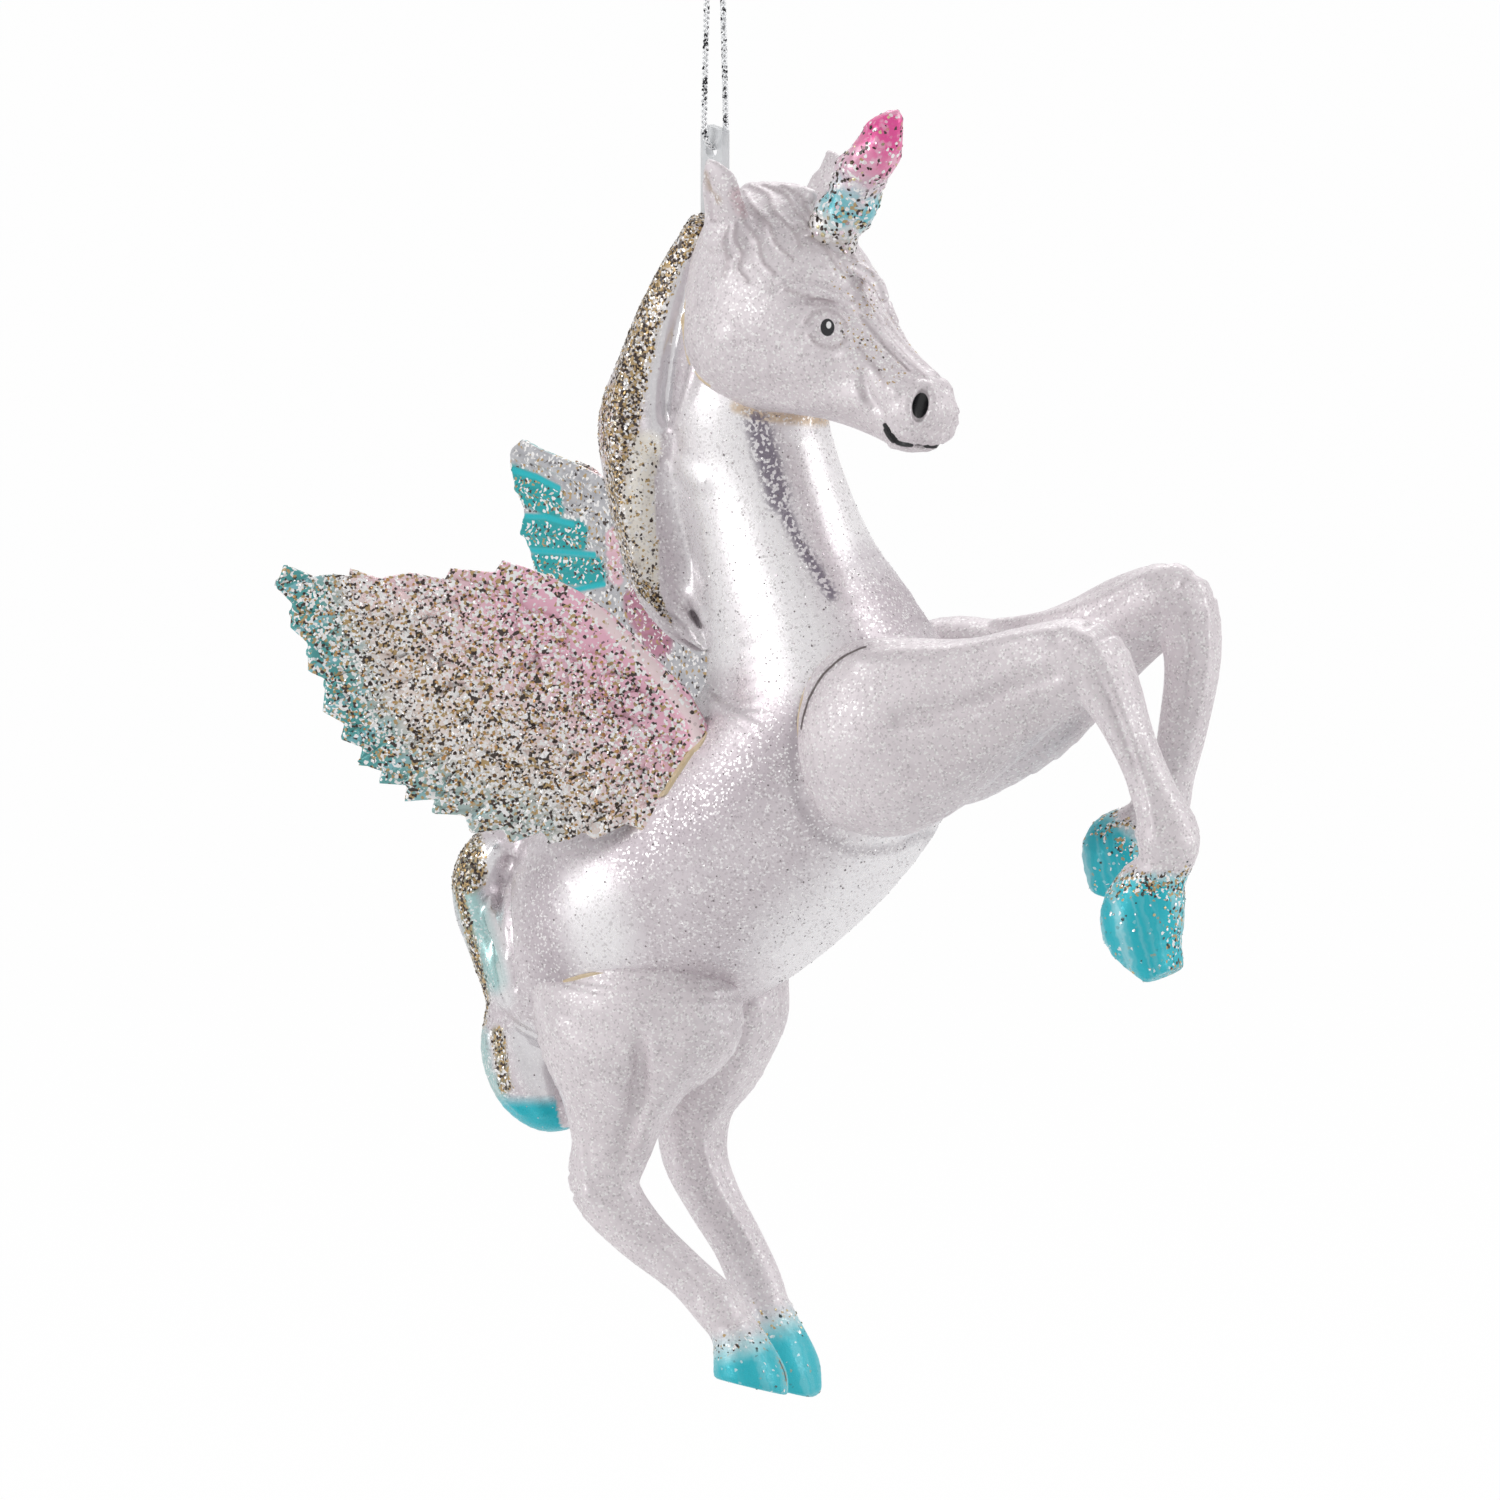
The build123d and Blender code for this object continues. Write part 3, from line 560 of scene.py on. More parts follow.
# strokes drawn on the picture: the line, its radii, how soft it joins, whether it is pressed in
leg_strokes = {
    "right_foreleg": [
        ([(862, 662), (900, 660), (950, 656), (1000, 644), (1044, 636)], [0.6, 1.6, 1.6, 1.2, 0.8], 2.0,
         False),
        ([(880, 800), (930, 792), (980, 752), (1030, 730), (1070, 712)], [1.0, 1.6, 1.2, 0.9, 0.5], 1.8,
         False),
        ([(900, 720), (950, 712), (1000, 694), (1050, 676)], [0.3, 0.45, 0.4, 0.2], 2.2, True),
        ([(1064, 632), (1084, 644), (1096, 662)], [1.1, 1.3, 0.9], 1.2, False),
        ([(1088, 640), (1110, 690), (1128, 740), (1142, 790), (1150, 826)], [0.5, 0.55, 0.5, 0.5, 0.4], 0.6,
         False),
        ([(1082, 680), (1104, 722), (1120, 764), (1130, 800), (1132, 826)], [0.4, 0.5, 0.5, 0.5, 0.4], 0.6,
         False),
        ([(1092, 672), (1112, 714), (1130, 764), (1142, 808)], [0.2, 0.28, 0.28, 0.2], 0.5, True),
        ([(1134, 832), (1150, 842), (1172, 846), (1188, 842)], [0.7, 0.9, 0.9, 0.6], 1.0, False),
        ([(1112, 884), (1136, 876), (1160, 880), (1178, 888)], [0.4, 0.5, 0.5, 0.4], 0.4, False),
    ],
    "left_foreleg": [
        ([(1000, 622), (1050, 616), (1100, 602), (1146, 576)], [0.6, 0.9, 0.9, 0.6], 1.4, False),
        ([(1160, 572), (1184, 574), (1202, 590)], [0.9, 1.2, 0.9], 1.2, False),
        ([(1206, 612), (1206, 660), (1198, 710), (1186, 756)], [0.5, 0.55, 0.5, 0.4], 0.7, False),
        ([(1186, 620), (1188, 660), (1182, 706), (1172, 744)], [0.2, 0.28, 0.28, 0.2], 0.5, True),
    ],
    "right_hind_leg": [
        ([(560, 1030), (600, 1070), (630, 1110), (646, 1150)], [0.8, 1.4, 1.1, 0.6], 2.0, False),
        ([(700, 1010), (684, 1060), (660, 1104), (640, 1140)], [0.8, 1.4, 1.1, 0.5], 2.0, False),
        ([(640, 1040), (640, 1080), (632, 1120), (620, 1160)], [0.5, 0.8, 0.7, 0.4], 1.8, True),
        ([(580, 1130), (584, 1170), (590, 1206)], [0.4, 0.5, 0.5], 0.7, False),
        ([(588, 1196), (612, 1212), (640, 1226)], [0.8, 0.9, 0.6], 1.0, False),
        ([(606, 1224), (650, 1258), (690, 1296)], [0.4, 0.45, 0.4], 0.6, False),
        ([(622, 1216), (660, 1244), (700, 1284)], [0.2, 0.26, 0.2], 0.5, True),
        ([(722, 1334), (740, 1326), (752, 1318)], [0.4, 0.5, 0.4], 0.4, False),
    ],
    "left_hind_leg": [
        ([(756, 1010), (744, 1060), (722, 1100), (706, 1130)], [0.6, 1.1, 0.9, 0.5], 1.6, False),
        ([(700, 1140), (712, 1180), (732, 1216), (752, 1250)], [0.4, 0.5, 0.5, 0.4], 0.7, False),
        ([(716, 1150), (730, 1186), (746, 1220)], [0.2, 0.26, 0.2], 0.5, True),
        ([(786, 1332), (794, 1338)], [0.4, 0.4], 0.4, False),
    ],
}
# the hind hooves stand on one slanting line of the picture
HIND_SOLE = (730, 1382), (800, 1399)
sole_out = RIGHT * (HIND_SOLE[0][1] - HIND_SOLE[1][1]) - UP * (HIND_SOLE[1][0] - HIND_SOLE[0][0])
sole_out /= np.linalg.norm(sole_out)
leg_pieces, leg_clays, hoof_places = {}, {}, {}
for name, (root, side, leg_rows, hoof_rows) in leg_tables.items():
    leg = placed(leg_rows, LEG_MM, root, side)
    hoof = placed(hoof_rows, LEG_MM, root, side)
    every = np.array(leg + hoof)
    reach = every[:, 3:].max(1)[:, None]
    clay = Clay((every[:, :3] - reach).min(0) - 1.5, (every[:, :3] + reach).max(0) + 1.5, 0.3)
    clay.limb(leg, cap=0.3)
    clay.limb(hoof, cap=0.5, soft=0.7)
    for line, radii, soft, cut in leg_strokes[name]:
        points, kept = clay.under(line, radii, 0.22 if cut else min(radii) * 0.25 + 0.12)
        if len(points) > 1:
            clay.stroke(points, kept, soft, cut)
    sole, before = np.array(hoof[-1][:3]), np.array(hoof[-2][:3])
    if "fore" in name:
        clay.slice_off(sole, (sole - before) / np.linalg.norm(sole - before), 0.5)
    else:
        clay.slice_off(picture_point(*HIND_SOLE[0]), sole_out, 0.6)
    hoof_places[name] = (np.array(hoof[0][:3]), sole)
    leg_clays[name] = clay
    leg_pieces[name] = clay.mesh(f"{name}_casting")

# %% [markdown]
# ## The horn
# The horn is a stubby cone with a low spiral round it, a little bent. Its skin is rings of points whose
# radius rises and falls with the angle and the height, which is all that a spiral is.

# %% Horn
HORN_MM = 20.0
horn_root = in_head(np.array([0.43, 0.0, -0.24]) * HEAD_MM)
lean = math.radians(33.5)
horn_axis = HEAD_FORWARD * math.sin(lean) + np.array([0, 0, math.cos(lean)])
horn_side = HEAD_LEFT
horn_depth = np.cross(horn_axis, horn_side)
RINGS, ROUND, TURNS = 150, 72, 2.6
horn_heights = [0, 0.15, 0.3, 0.45, 0.6, 0.75, 0.88, 0.96, 1]
horn_radii = [0.166, 0.168, 0.168, 0.166, 0.16, 0.142, 0.104, 0.058, 0.008]
horn_points = []
for ring in range(RINGS + 1):
    share = ring / RINGS
    height = -0.5 + share * (HORN_MM + 0.9)
    radius = HORN_MM * np.interp(share, horn_heights, horn_radii)
    for step in range(ROUND):
        angle = 2 * math.pi * step / ROUND
        wave = math.cos(angle - 2 * math.pi * TURNS * share)
        lump = 1 + 0.1 * wave * (1 - share**6)
        lump += 0.035 * math.sin(4 * angle + 23 * share) + 0.03 * math.sin(2 * angle - 41 * share)
        out = horn_side * math.cos(angle) + horn_depth * math.sin(angle)
        bend = horn_depth * 0.35 * math.sin(math.pi * share)
        horn_points.append(horn_root + horn_axis * height + bend + out * radius * lump)


def tube_faces(rings, around, start=0):
    """The faces between rings of points that follow each other."""
    faces = []
    for ring in range(rings - 1):
        for step in range(around):
            a, b = (start + ring * around + k % around for k in (step, step + 1))
            faces.append((a, b, b + around, a + around))
    return faces


def closed_tube(name, points, around):
    """A tube of rings with both ends closed by a middle point."""
    thing = new_object(name, points, tube_faces(len(points) // around, around))
    shape = bmesh.new()
    shape.from_mesh(thing.data)
    shape.verts.ensure_lookup_table()
    rings = [[shape.verts[first + k] for k in range(around)] for first in (0, len(points) - around)]
    for ring in rings:
        hub = shape.verts.new(sum((vert.co for vert in ring), Vector()) / around)
        for k in range(around):
            shape.faces.new((ring[k], ring[(k + 1) % around], hub))
    face_out(thing, shape)
    thing.data.shade_smooth()
    return thing


def face_out(thing, shape):
    """Puts an edited shape back on its object with every face turned outward."""
    bmesh.ops.recalc_face_normals(shape, faces=shape.faces)
    shape.to_mesh(thing.data)
    shape.free()


horn_piece = closed_tube("horn_spiral", np.array(horn_points) * MM, ROUND)

# %% [markdown]
# ## The wings
# A wing is a thin casting: rows of overlapping feathers lie on its outer face, and grooves, quills and
# curled tufts are worked into its inner one. Its place is a plane
# through its root, so a feather is set by how far back and how far up it lies on that plane. One feather is
# modelled, and a Geometry Nodes tree puts it on a cloud of points that carry its turn and its size.

# %% The wing's plane
WING_MM = 50.0
WING_THICK = 1.5
wing_root_place = TAB_HOLE + np.array([0.046, 0.152, -0.677]) * GLASS_MM
wing_outline = [
    (-0.02, -0.07), (0.03, 0.02), (0.14, 0.13), (0.22, 0.21), (0.3, 0.27), (0.37, 0.31),
    (0.44, 0.335), (0.49, 0.35), (0.51, 0.32), (0.62, 0.33), (0.635, 0.3), (0.715, 0.32),
    (0.8, 0.305), (0.87, 0.33), (0.875, 0.3), (0.95, 0.305), (1.035, 0.34), (1.055, 0.28),
    (1.015, 0.24), (1.02, 0.18), (0.975, 0.14), (0.975, 0.07), (0.93, 0.05), (0.94, -0.03),
    (0.885, -0.06), (0.895, -0.1), (0.84, -0.12), (0.85, -0.165), (0.79, -0.17), (0.8, -0.21),
    (0.73, -0.215), (0.735, -0.255), (0.66, -0.25), (0.67, -0.285), (0.585, -0.29), (0.57, -0.335),
    (0.49, -0.325), (0.47, -0.36), (0.39, -0.33), (0.37, -0.36), (0.29, -0.33), (0.26, -0.35),
    (0.18, -0.31), (0.11, -0.335), (0.02, -0.335), (-0.045, -0.25), (-0.065, -0.16), (-0.05, -0.1),
]
far_outline = wing_outline[:7] + [
    (0.49, 0.335), (0.62, 0.32), (0.748, 0.314), (0.885, 0.325), (1.033, 0.328), (1.105, 0.335), (1.14, 0.3),
    (1.135, 0.257), (1.1, 0.2), (1.06, 0.16), (1.062, 0.115), (1.03, 0.075), (1.0, 0.035), (0.955, 0.01),
    (0.955, -0.04), (0.9, -0.07),
] + wing_outline[25:]
ridge_line = [(-0.01, -0.17), (0.01, -0.05), (0.12, 0.09), (0.26, 0.225), (0.42, 0.3)]


class Wing:
    """A wing's plane: its root, back along it, up across it, and out of its outer face."""

    def __init__(self, side, lift, outline):
        splay, raised = math.radians(22.5), math.radians(lift)
        level = np.array([-math.cos(splay), side * math.sin(splay), 0.0])
        across = np.cross(level, np.array([0, 0, 1.0]))
        self.side, self.outline = side, outline
        self.root = wing_root_place * np.array([1, side, 1])
        self.back = level * math.cos(raised) + np.array([0, 0, math.sin(raised)])
        self.up = np.cross(across, self.back)
        self.outer = across * (1 if across[1] * side > 0 else -1)

    def place(self, shares, out=0.0):
        """Places in mm from shares of the span back and up, moved out of the plane by so much."""
        spots = [self.root + (s * self.back + t * self.up) * WING_MM for s, t in shares]
        return np.array(spots) + self.outer * out

    def under(self, line):
        """A line of the picture on the face that shows, as shares of the span back and up."""
        shown = self.root - self.side * self.outer * WING_THICK / 2
        shares = []
        for u, v in line:
            start = picture_point(u, v)
            point = start + INTO * ((shown - start) @ self.outer) / (INTO @ self.outer) - self.root
            shares.append([point @ self.back / WING_MM, point @ self.up / WING_MM])
        return shares


wings = {"right_wing": Wing(-1, 0, wing_outline), "left_wing": Wing(1, 12, far_outline)}
far_wing = wings["left_wing"]
# the inner face as it shows on the far wing, drawn on the picture: grooves between the long feathers, then
# the quills on them, then the curled tufts at the root
grooves = [[(516, 512), (540, 513), (568, 521)], [(522, 547), (556, 549), (590, 552)],
           [(508, 466), (530, 472), (554, 484)], [(544, 582), (570, 588), (600, 582)]]
quills = [[(512, 484), (536, 490), (562, 500), (590, 512)], [(518, 529), (546, 532), (576, 535), (600, 540)],
          [(532, 565), (560, 567), (590, 566), (612, 562)], [(508, 450), (534, 458), (566, 473), (604, 492)]]
tufts = [[(602, 532), (618, 528)], [(600, 541), (622, 536)], [(603, 552), (626, 546)],
         [(605, 564), (628, 556)], [(608, 575), (632, 568)], [(624, 596), (640, 590)],
         [(628, 608), (650, 600)], [(634, 620), (658, 612)], [(642, 632), (664, 624)],
         [(650, 642), (668, 636)]]
inner_lines = [(far_wing.under(line), radius, cut)
               for lines, radius, cut in ((grooves, 0.42, True), (quills, 0.45, False), (tufts, 0.5, False))
               for line in lines]


def distance_to_outline(points, outline):
    """How far points of a plane are from a closed line, less than zero inside it."""
    loop = np.array([*outline, outline[0]])
    inside = np.zeros(len(points), bool)
    for a, b in zip(loop[:-1], loop[1:]):
        crosses = (a[1] > points[:, 1]) != (b[1] > points[:, 1])
        with np.errstate(divide="ignore", invalid="ignore"):
            at = a[0] + (points[:, 1] - a[1]) * (b[0] - a[0]) / (b[1] - a[1])
        inside ^= crosses & (points[:, 0] < at)
    return from_line(points, loop) * np.where(inside, -1, 1)


def wing_clay(wing):
    """The plate of a wing with its thick leading edge, as clay."""
    corners = wing.place(wing.outline)
    clay = Clay(corners.min(0) - 3, corners.max(0) + 3, 0.32)
    grids = clay.whole()
    x, y, z = (grids[k] - wing.root[k] for k in range(3))
    s, t, n = ((x * way[0] + y * way[1] + z * way[2]) for way in (wing.back, wing.up, wing.outer))
    near = np.abs(n) < 2.5
    flat = np.column_stack([s[near], t[near]]) / WING_MM
    edge = np.full(near.shape, FAR, np.float32)
    edge[near] = distance_to_outline(flat, wing.outline) * WING_MM
    # the plate swells to its full thickness and a little more where it meets the glass
    lattice = np.stack(np.broadcast_arrays(*grids), axis=-1)
    to_glass = np.full(near.shape, FAR, np.float32)
    to_glass[near] = glass.value(lattice[near])
    swell = 0.42 * np.clip(1 - to_glass / 2.2, 0, 1)
    slab = (np.abs(n) - (WING_THICK / 2 - 0.25 + swell)).astype(np.float32)
    clay.field = np.clip(-blend_min(-edge, -slab, 0.5), -FAR, FAR).astype(np.float32)
    clay.stroke(wing.place(ridge_line), [1.2, 1.2, 1.0, 0.8, 0.5], soft=1.0)
    for line, radius, cut in inner_lines:
        sunk = -WING_THICK / 2 + (0.0 if cut else radius * 0.35)
        clay.stroke(wing.place(line, sunk), radius, soft=0.35, cut=cut)
    clay.field = np.maximum(clay.field, np.where(near, edge - 0.3, -FAR).astype(np.float32))
    return clay


wing_plates = {name: wing_clay(wing).mesh(f"{name}_plate") for name, wing in wings.items()}

# %% [markdown]
# ## One feather
# A feather here is a closed leaf of a few dozen faces, as it is repeated hundreds of times: pointed, a
# little hollow along its length, with a raised quill down its middle.

# %% Feather shape
def feather_mesh(name, along=7, across=4):
    """A closed leaf one unit long, pointing along +X and lying on +Z."""
    points, faces = [], []
    for top in (1, 0):
        for i in range(along + 1):
            t = i / along
            half = 0.27 * (math.sin(math.pi * min(t * 0.62 + 0.2, 1.0)) ** 0.8) * (1 - t**5) + 0.004
            for j in range(across + 1):
                v = 2 * j / across - 1
                quill = 0.035 * (1 - abs(v)) ** 2 * (1 - t)
                height = (0.055 * (1 - v * v) + quill) * (1 - 0.5 * t) + 0.03
                points.append((t, v * half, height if top else 0.0))
    wide = across + 1
    under = (along + 1) * wide
    for i in range(along):
        for j in range(across):
            a = i * wide + j
            faces.append((a, a + wide, a + wide + 1, a + 1))
            faces.append((under + a, under + a + 1, under + a + wide + 1, under + a + wide))
    rim = [*range(wide)] + [i * wide + across for i in range(1, along + 1)]
    rim += [along * wide + j for j in range(across - 1, -1, -1)] + [i * wide for i in range(along - 1, 0, -1)]
    for a, b in zip(rim, rim[1:] + rim[:1]):
        faces.append((a, b, under + b, under + a))
    thing = new_object(name, points, faces)
    shape = bmesh.new()
    shape.from_mesh(thing.data)
    face_out(thing, shape)
    return thing


feather = feather_mesh("feather_pattern")

# %% [markdown]
# ## A tree that places copies
# Every node in this file comes from one method: its kind, its settings, then what its sockets get. The tree
# takes a cloud of points, a shape and a finish. Each point carries a turn and a size as attributes. Copies
# become real faces at the end, because an export drops instances.

# %% Placing tree
class Nodes:
    """A node tree with one short way to add a node."""

    def __init__(self, tree):
        self.tree = tree

    def give(self, socket, given):
        """Links something to a socket, or sets the socket's own value."""
        given = getattr(given, "socket", given)
        if isinstance(given, bpy.types.NodeSocket):
            self.tree.links.new(given, socket)
        elif given is not None:
            bare_colour = socket.type == "RGBA" and len(given) == 3
            socket.default_value = (*given, 1.0) if bare_colour else given

    def node(self, kind, settings, inputs, output=0):
        """Any node, given back as one of its outputs, or whole where output is None."""
        made = self.tree.nodes.new(kind)
        for label, setting in settings.items():
            setattr(made, label, setting)
        for key, given in inputs.items() if isinstance(inputs, dict) else enumerate(inputs):
            self.give(made.inputs[key], given)
        return made if output is None else made.outputs[output]


TURN_SEED, TONE_SEED = 7, 11


def placing_tree(name, random_size):
    """A Geometry Nodes tree that sets a shape on points that carry turn and size."""
    tree = bpy.data.node_groups.new(name, "GeometryNodeTree")
    for label, kind in (("Points", "Geometry"), ("Shape", "Object"), ("Finish", "Material"),
                        ("Scale", "Float")):
        tree.interface.new_socket(name=label, in_out="INPUT", socket_type=f"NodeSocket{kind}")
    tree.interface.new_socket(name="Geometry", in_out="OUTPUT", socket_type="NodeSocketGeometry")
    node = Nodes(tree).node
    given = node("NodeGroupInput", {}, {}, None).outputs
    shape = node("GeometryNodeObjectInfo", {}, {"Object": given["Shape"]}, "Geometry")
    kind, settings = "GeometryNodeInputNamedAttribute", {"data_type": "FLOAT_VECTOR"}
    turn, size = (node(kind, settings, {"Name": label}, "Attribute") for label in ("turn", "size"))
    limits = {2: 1 - random_size, 3: 1 + random_size, "Seed": TURN_SEED}
    jitter = node("FunctionNodeRandomValue", {"data_type": "FLOAT"}, limits, 1)
    for share in (jitter, given["Scale"]):
        size = node("ShaderNodeVectorMath", {"operation": "SCALE"}, {0: size, "Scale": share})
    rotation = node("FunctionNodeEulerToRotation", {}, [turn])
    copies = node("GeometryNodeInstanceOnPoints", {}, {
        "Points": given["Points"], "Instance": shape, "Rotation": rotation, "Scale": size}, "Instances")
    luck = node("FunctionNodeRandomValue", {"data_type": "FLOAT"}, {"Seed": TONE_SEED}, 1)
    toned = node("GeometryNodeStoreNamedAttribute", {"data_type": "FLOAT", "domain": "INSTANCE"}, {
        "Geometry": copies, "Name": "tone", "Value": luck}, "Geometry")
    real = node("GeometryNodeRealizeInstances", {}, {"Geometry": toned}, "Geometry")
    painted = node("GeometryNodeSetMaterial", {}, {"Geometry": real, "Material": given["Finish"]}, "Geometry")
    node("NodeGroupOutput", {}, {"Geometry": painted}, None)
    return tree


feather_tree = placing_tree("feathers_on_points", 0.07)
flake_tree = placing_tree("flakes_on_points", 0.3)
print("nodes in a placing tree", len(flake_tree.nodes))


def placed_copies(name, tree, points, turns, sizes, shape, finish):
    """Copies of a shape on points in mm, made one plain mesh in metres."""
    data = bpy.data.meshes.new(name)
    data.from_pydata([tuple(point) for point in np.asarray(points) * MM], [], [])
    for label, values in (("turn", turns), ("size", sizes)):
        store = data.attributes.new(label, "FLOAT_VECTOR", "POINT")
        store.data.foreach_set("vector", np.asarray(values, np.float32).ravel())
    cloud = linked(f"{name}_cloud", data)
    modifier = cloud.modifiers.new("copies", "NODES")
    modifier.node_group = tree
    sockets = {item.name: item.identifier for item in tree.interface.items_tree if item.in_out == "INPUT"}
    for label, given in (("Shape", shape), ("Finish", finish), ("Scale", MM)):
        modifier[sockets[label]] = given
    evaluated = cloud.evaluated_get(bpy.context.evaluated_depsgraph_get())
    mesh = bpy.data.meshes.new_from_object(evaluated)
    cloud.modifiers.clear()
    bpy.data.objects.remove(cloud)
    print(name, "copies", len(points), "faces", len(mesh.polygons))
    return linked(name, mesh)


def turn_of(along, out):
    """The turn that lays +X along one direction and +Z along another."""
    along = along / np.linalg.norm(along)
    out = out - along * (out @ along)
    out = out / np.linalg.norm(out)
    side_way = np.cross(out, along)
    return Matrix(np.column_stack([along, side_way, out]).tolist()).to_euler("XYZ")


# %% [markdown]
# ## Rows of feathers
# Rows start at the tips and go inwards, so that each row lies over the roots of the one before it. Every
# feather points away from a place near the shoulder, and the outer ones reach the wing's own outline.

# %% Feather places
FAN = np.array([0.02, -0.08])
FIRST_ANGLE, LAST_ANGLE = -1.62, 0.62
# rows from the tips inwards: how far out the tips are, the feathers' length and the gap between them
feather_rows = [(1.0, 0.24, 0.066), (0.93, 0.17, 0.056)]
feather_rows += [(0.86 - 0.062 * k, 0.105 - 0.002 * k, 0.045) for k in range(11)]


def reach_at(angle, wing):
    """How far the outline is from the fan's middle at an angle, as a share of the span."""
    way = np.array([math.cos(angle), math.sin(angle)])
    steps = np.linspace(0.05, 1.3, 260)
    outside = distance_to_outline(FAN + steps[:, None] * way, wing.outline) > 0
    return steps[outside.argmax()]


def feather_places(wing, seed):
    """Points, turns and sizes for the feathers on a wing's outer face."""
    luck = np.random.default_rng(seed)
    points, turns, sizes = [], [], []
    edge_share = 0.985 if wing.side < 0 else 0.93
    for level, (share, length, gap) in enumerate(feather_rows):
        angle = FIRST_ANGLE
        inner_row = level > 1
        tall = (0.35, 0.5)[level] if level < 2 else 0.9
        while angle < LAST_ANGLE:
            reach = reach_at(angle, wing)
            tip = reach * share * (edge_share if level == 0 else 1.0)
            step = gap / max(tip, 0.12)
            here = angle + (level % 2) * 0.5 * step + luck.uniform(-0.1, 0.1) * step * (level > 0)
            if here < LAST_ANGLE:
                flat_way = np.array([math.cos(here), math.sin(here)])
                size = length * luck.uniform(0.9, 1.1) * min(1, reach / 0.75 + 0.15)
                base = FAN + flat_way * (tip - size)
                way = wing.back * flat_way[0] + wing.up * flat_way[1]
                rise = luck.uniform(0.08, 0.26) if inner_row else 0.04
                sit = WING_THICK / 2 - 0.34 + luck.uniform(-0.1, 0.12) * inner_row
                way = way + np.cross(wing.outer, way) * luck.uniform(-0.25, 0.25) * inner_row
                points.append(wing.place([base], sit)[0])
                turns.append(turn_of(way + wing.outer * rise, wing.outer))
                long = size * WING_MM
                sizes.append((long, long * (gap / length) / 0.4, long * tall))
            angle += step
    return points, turns, sizes


print("rows of feathers", len(feather_rows))

# %% [markdown]
# ## Shader maths
# A finish is written as expressions on values. This small class wraps a socket, and each operator adds the
# Math node that does it. Colours go through Mix nodes instead, because a Math node turns a colour grey.

# %% Shader maths
class Value:
    """A number in a material that can be used in Python expressions."""

    def __init__(self, finish, socket):
        self.finish, self.socket = finish, socket

    def maths(self, operation, *others, clamp=False):
        return self.finish.value("ShaderNodeMath", {"operation": operation, "use_clamp": clamp},
                                 [self, *others])

    def __add__(self, other): return self.maths("ADD", other)
    def __radd__(self, other): return self.maths("ADD", other)
    def __sub__(self, other): return self.maths("SUBTRACT", other)
    def __rsub__(self, other): return self.maths("MULTIPLY", -1).maths("ADD", other)
    def __mul__(self, other): return self.maths("MULTIPLY", other)
    def __rmul__(self, other): return self.maths("MULTIPLY", other)
    def __truediv__(self, other): return self.maths("DIVIDE", other)
    def __pow__(self, other): return self.maths("POWER", other)

    def smallest(self, other): return self.maths("MINIMUM", other)
    def largest(self, other): return self.maths("MAXIMUM", other)
    def held(self): return self.maths("ADD", 0.0, clamp=True)

    def step(self, low, high):
        """0 below low, 1 above high and smooth between."""
        return self.finish.value("ShaderNodeMapRange", {"interpolation_type": "SMOOTHSTEP"},
                                 [self, low, high, 0.0, 1.0])


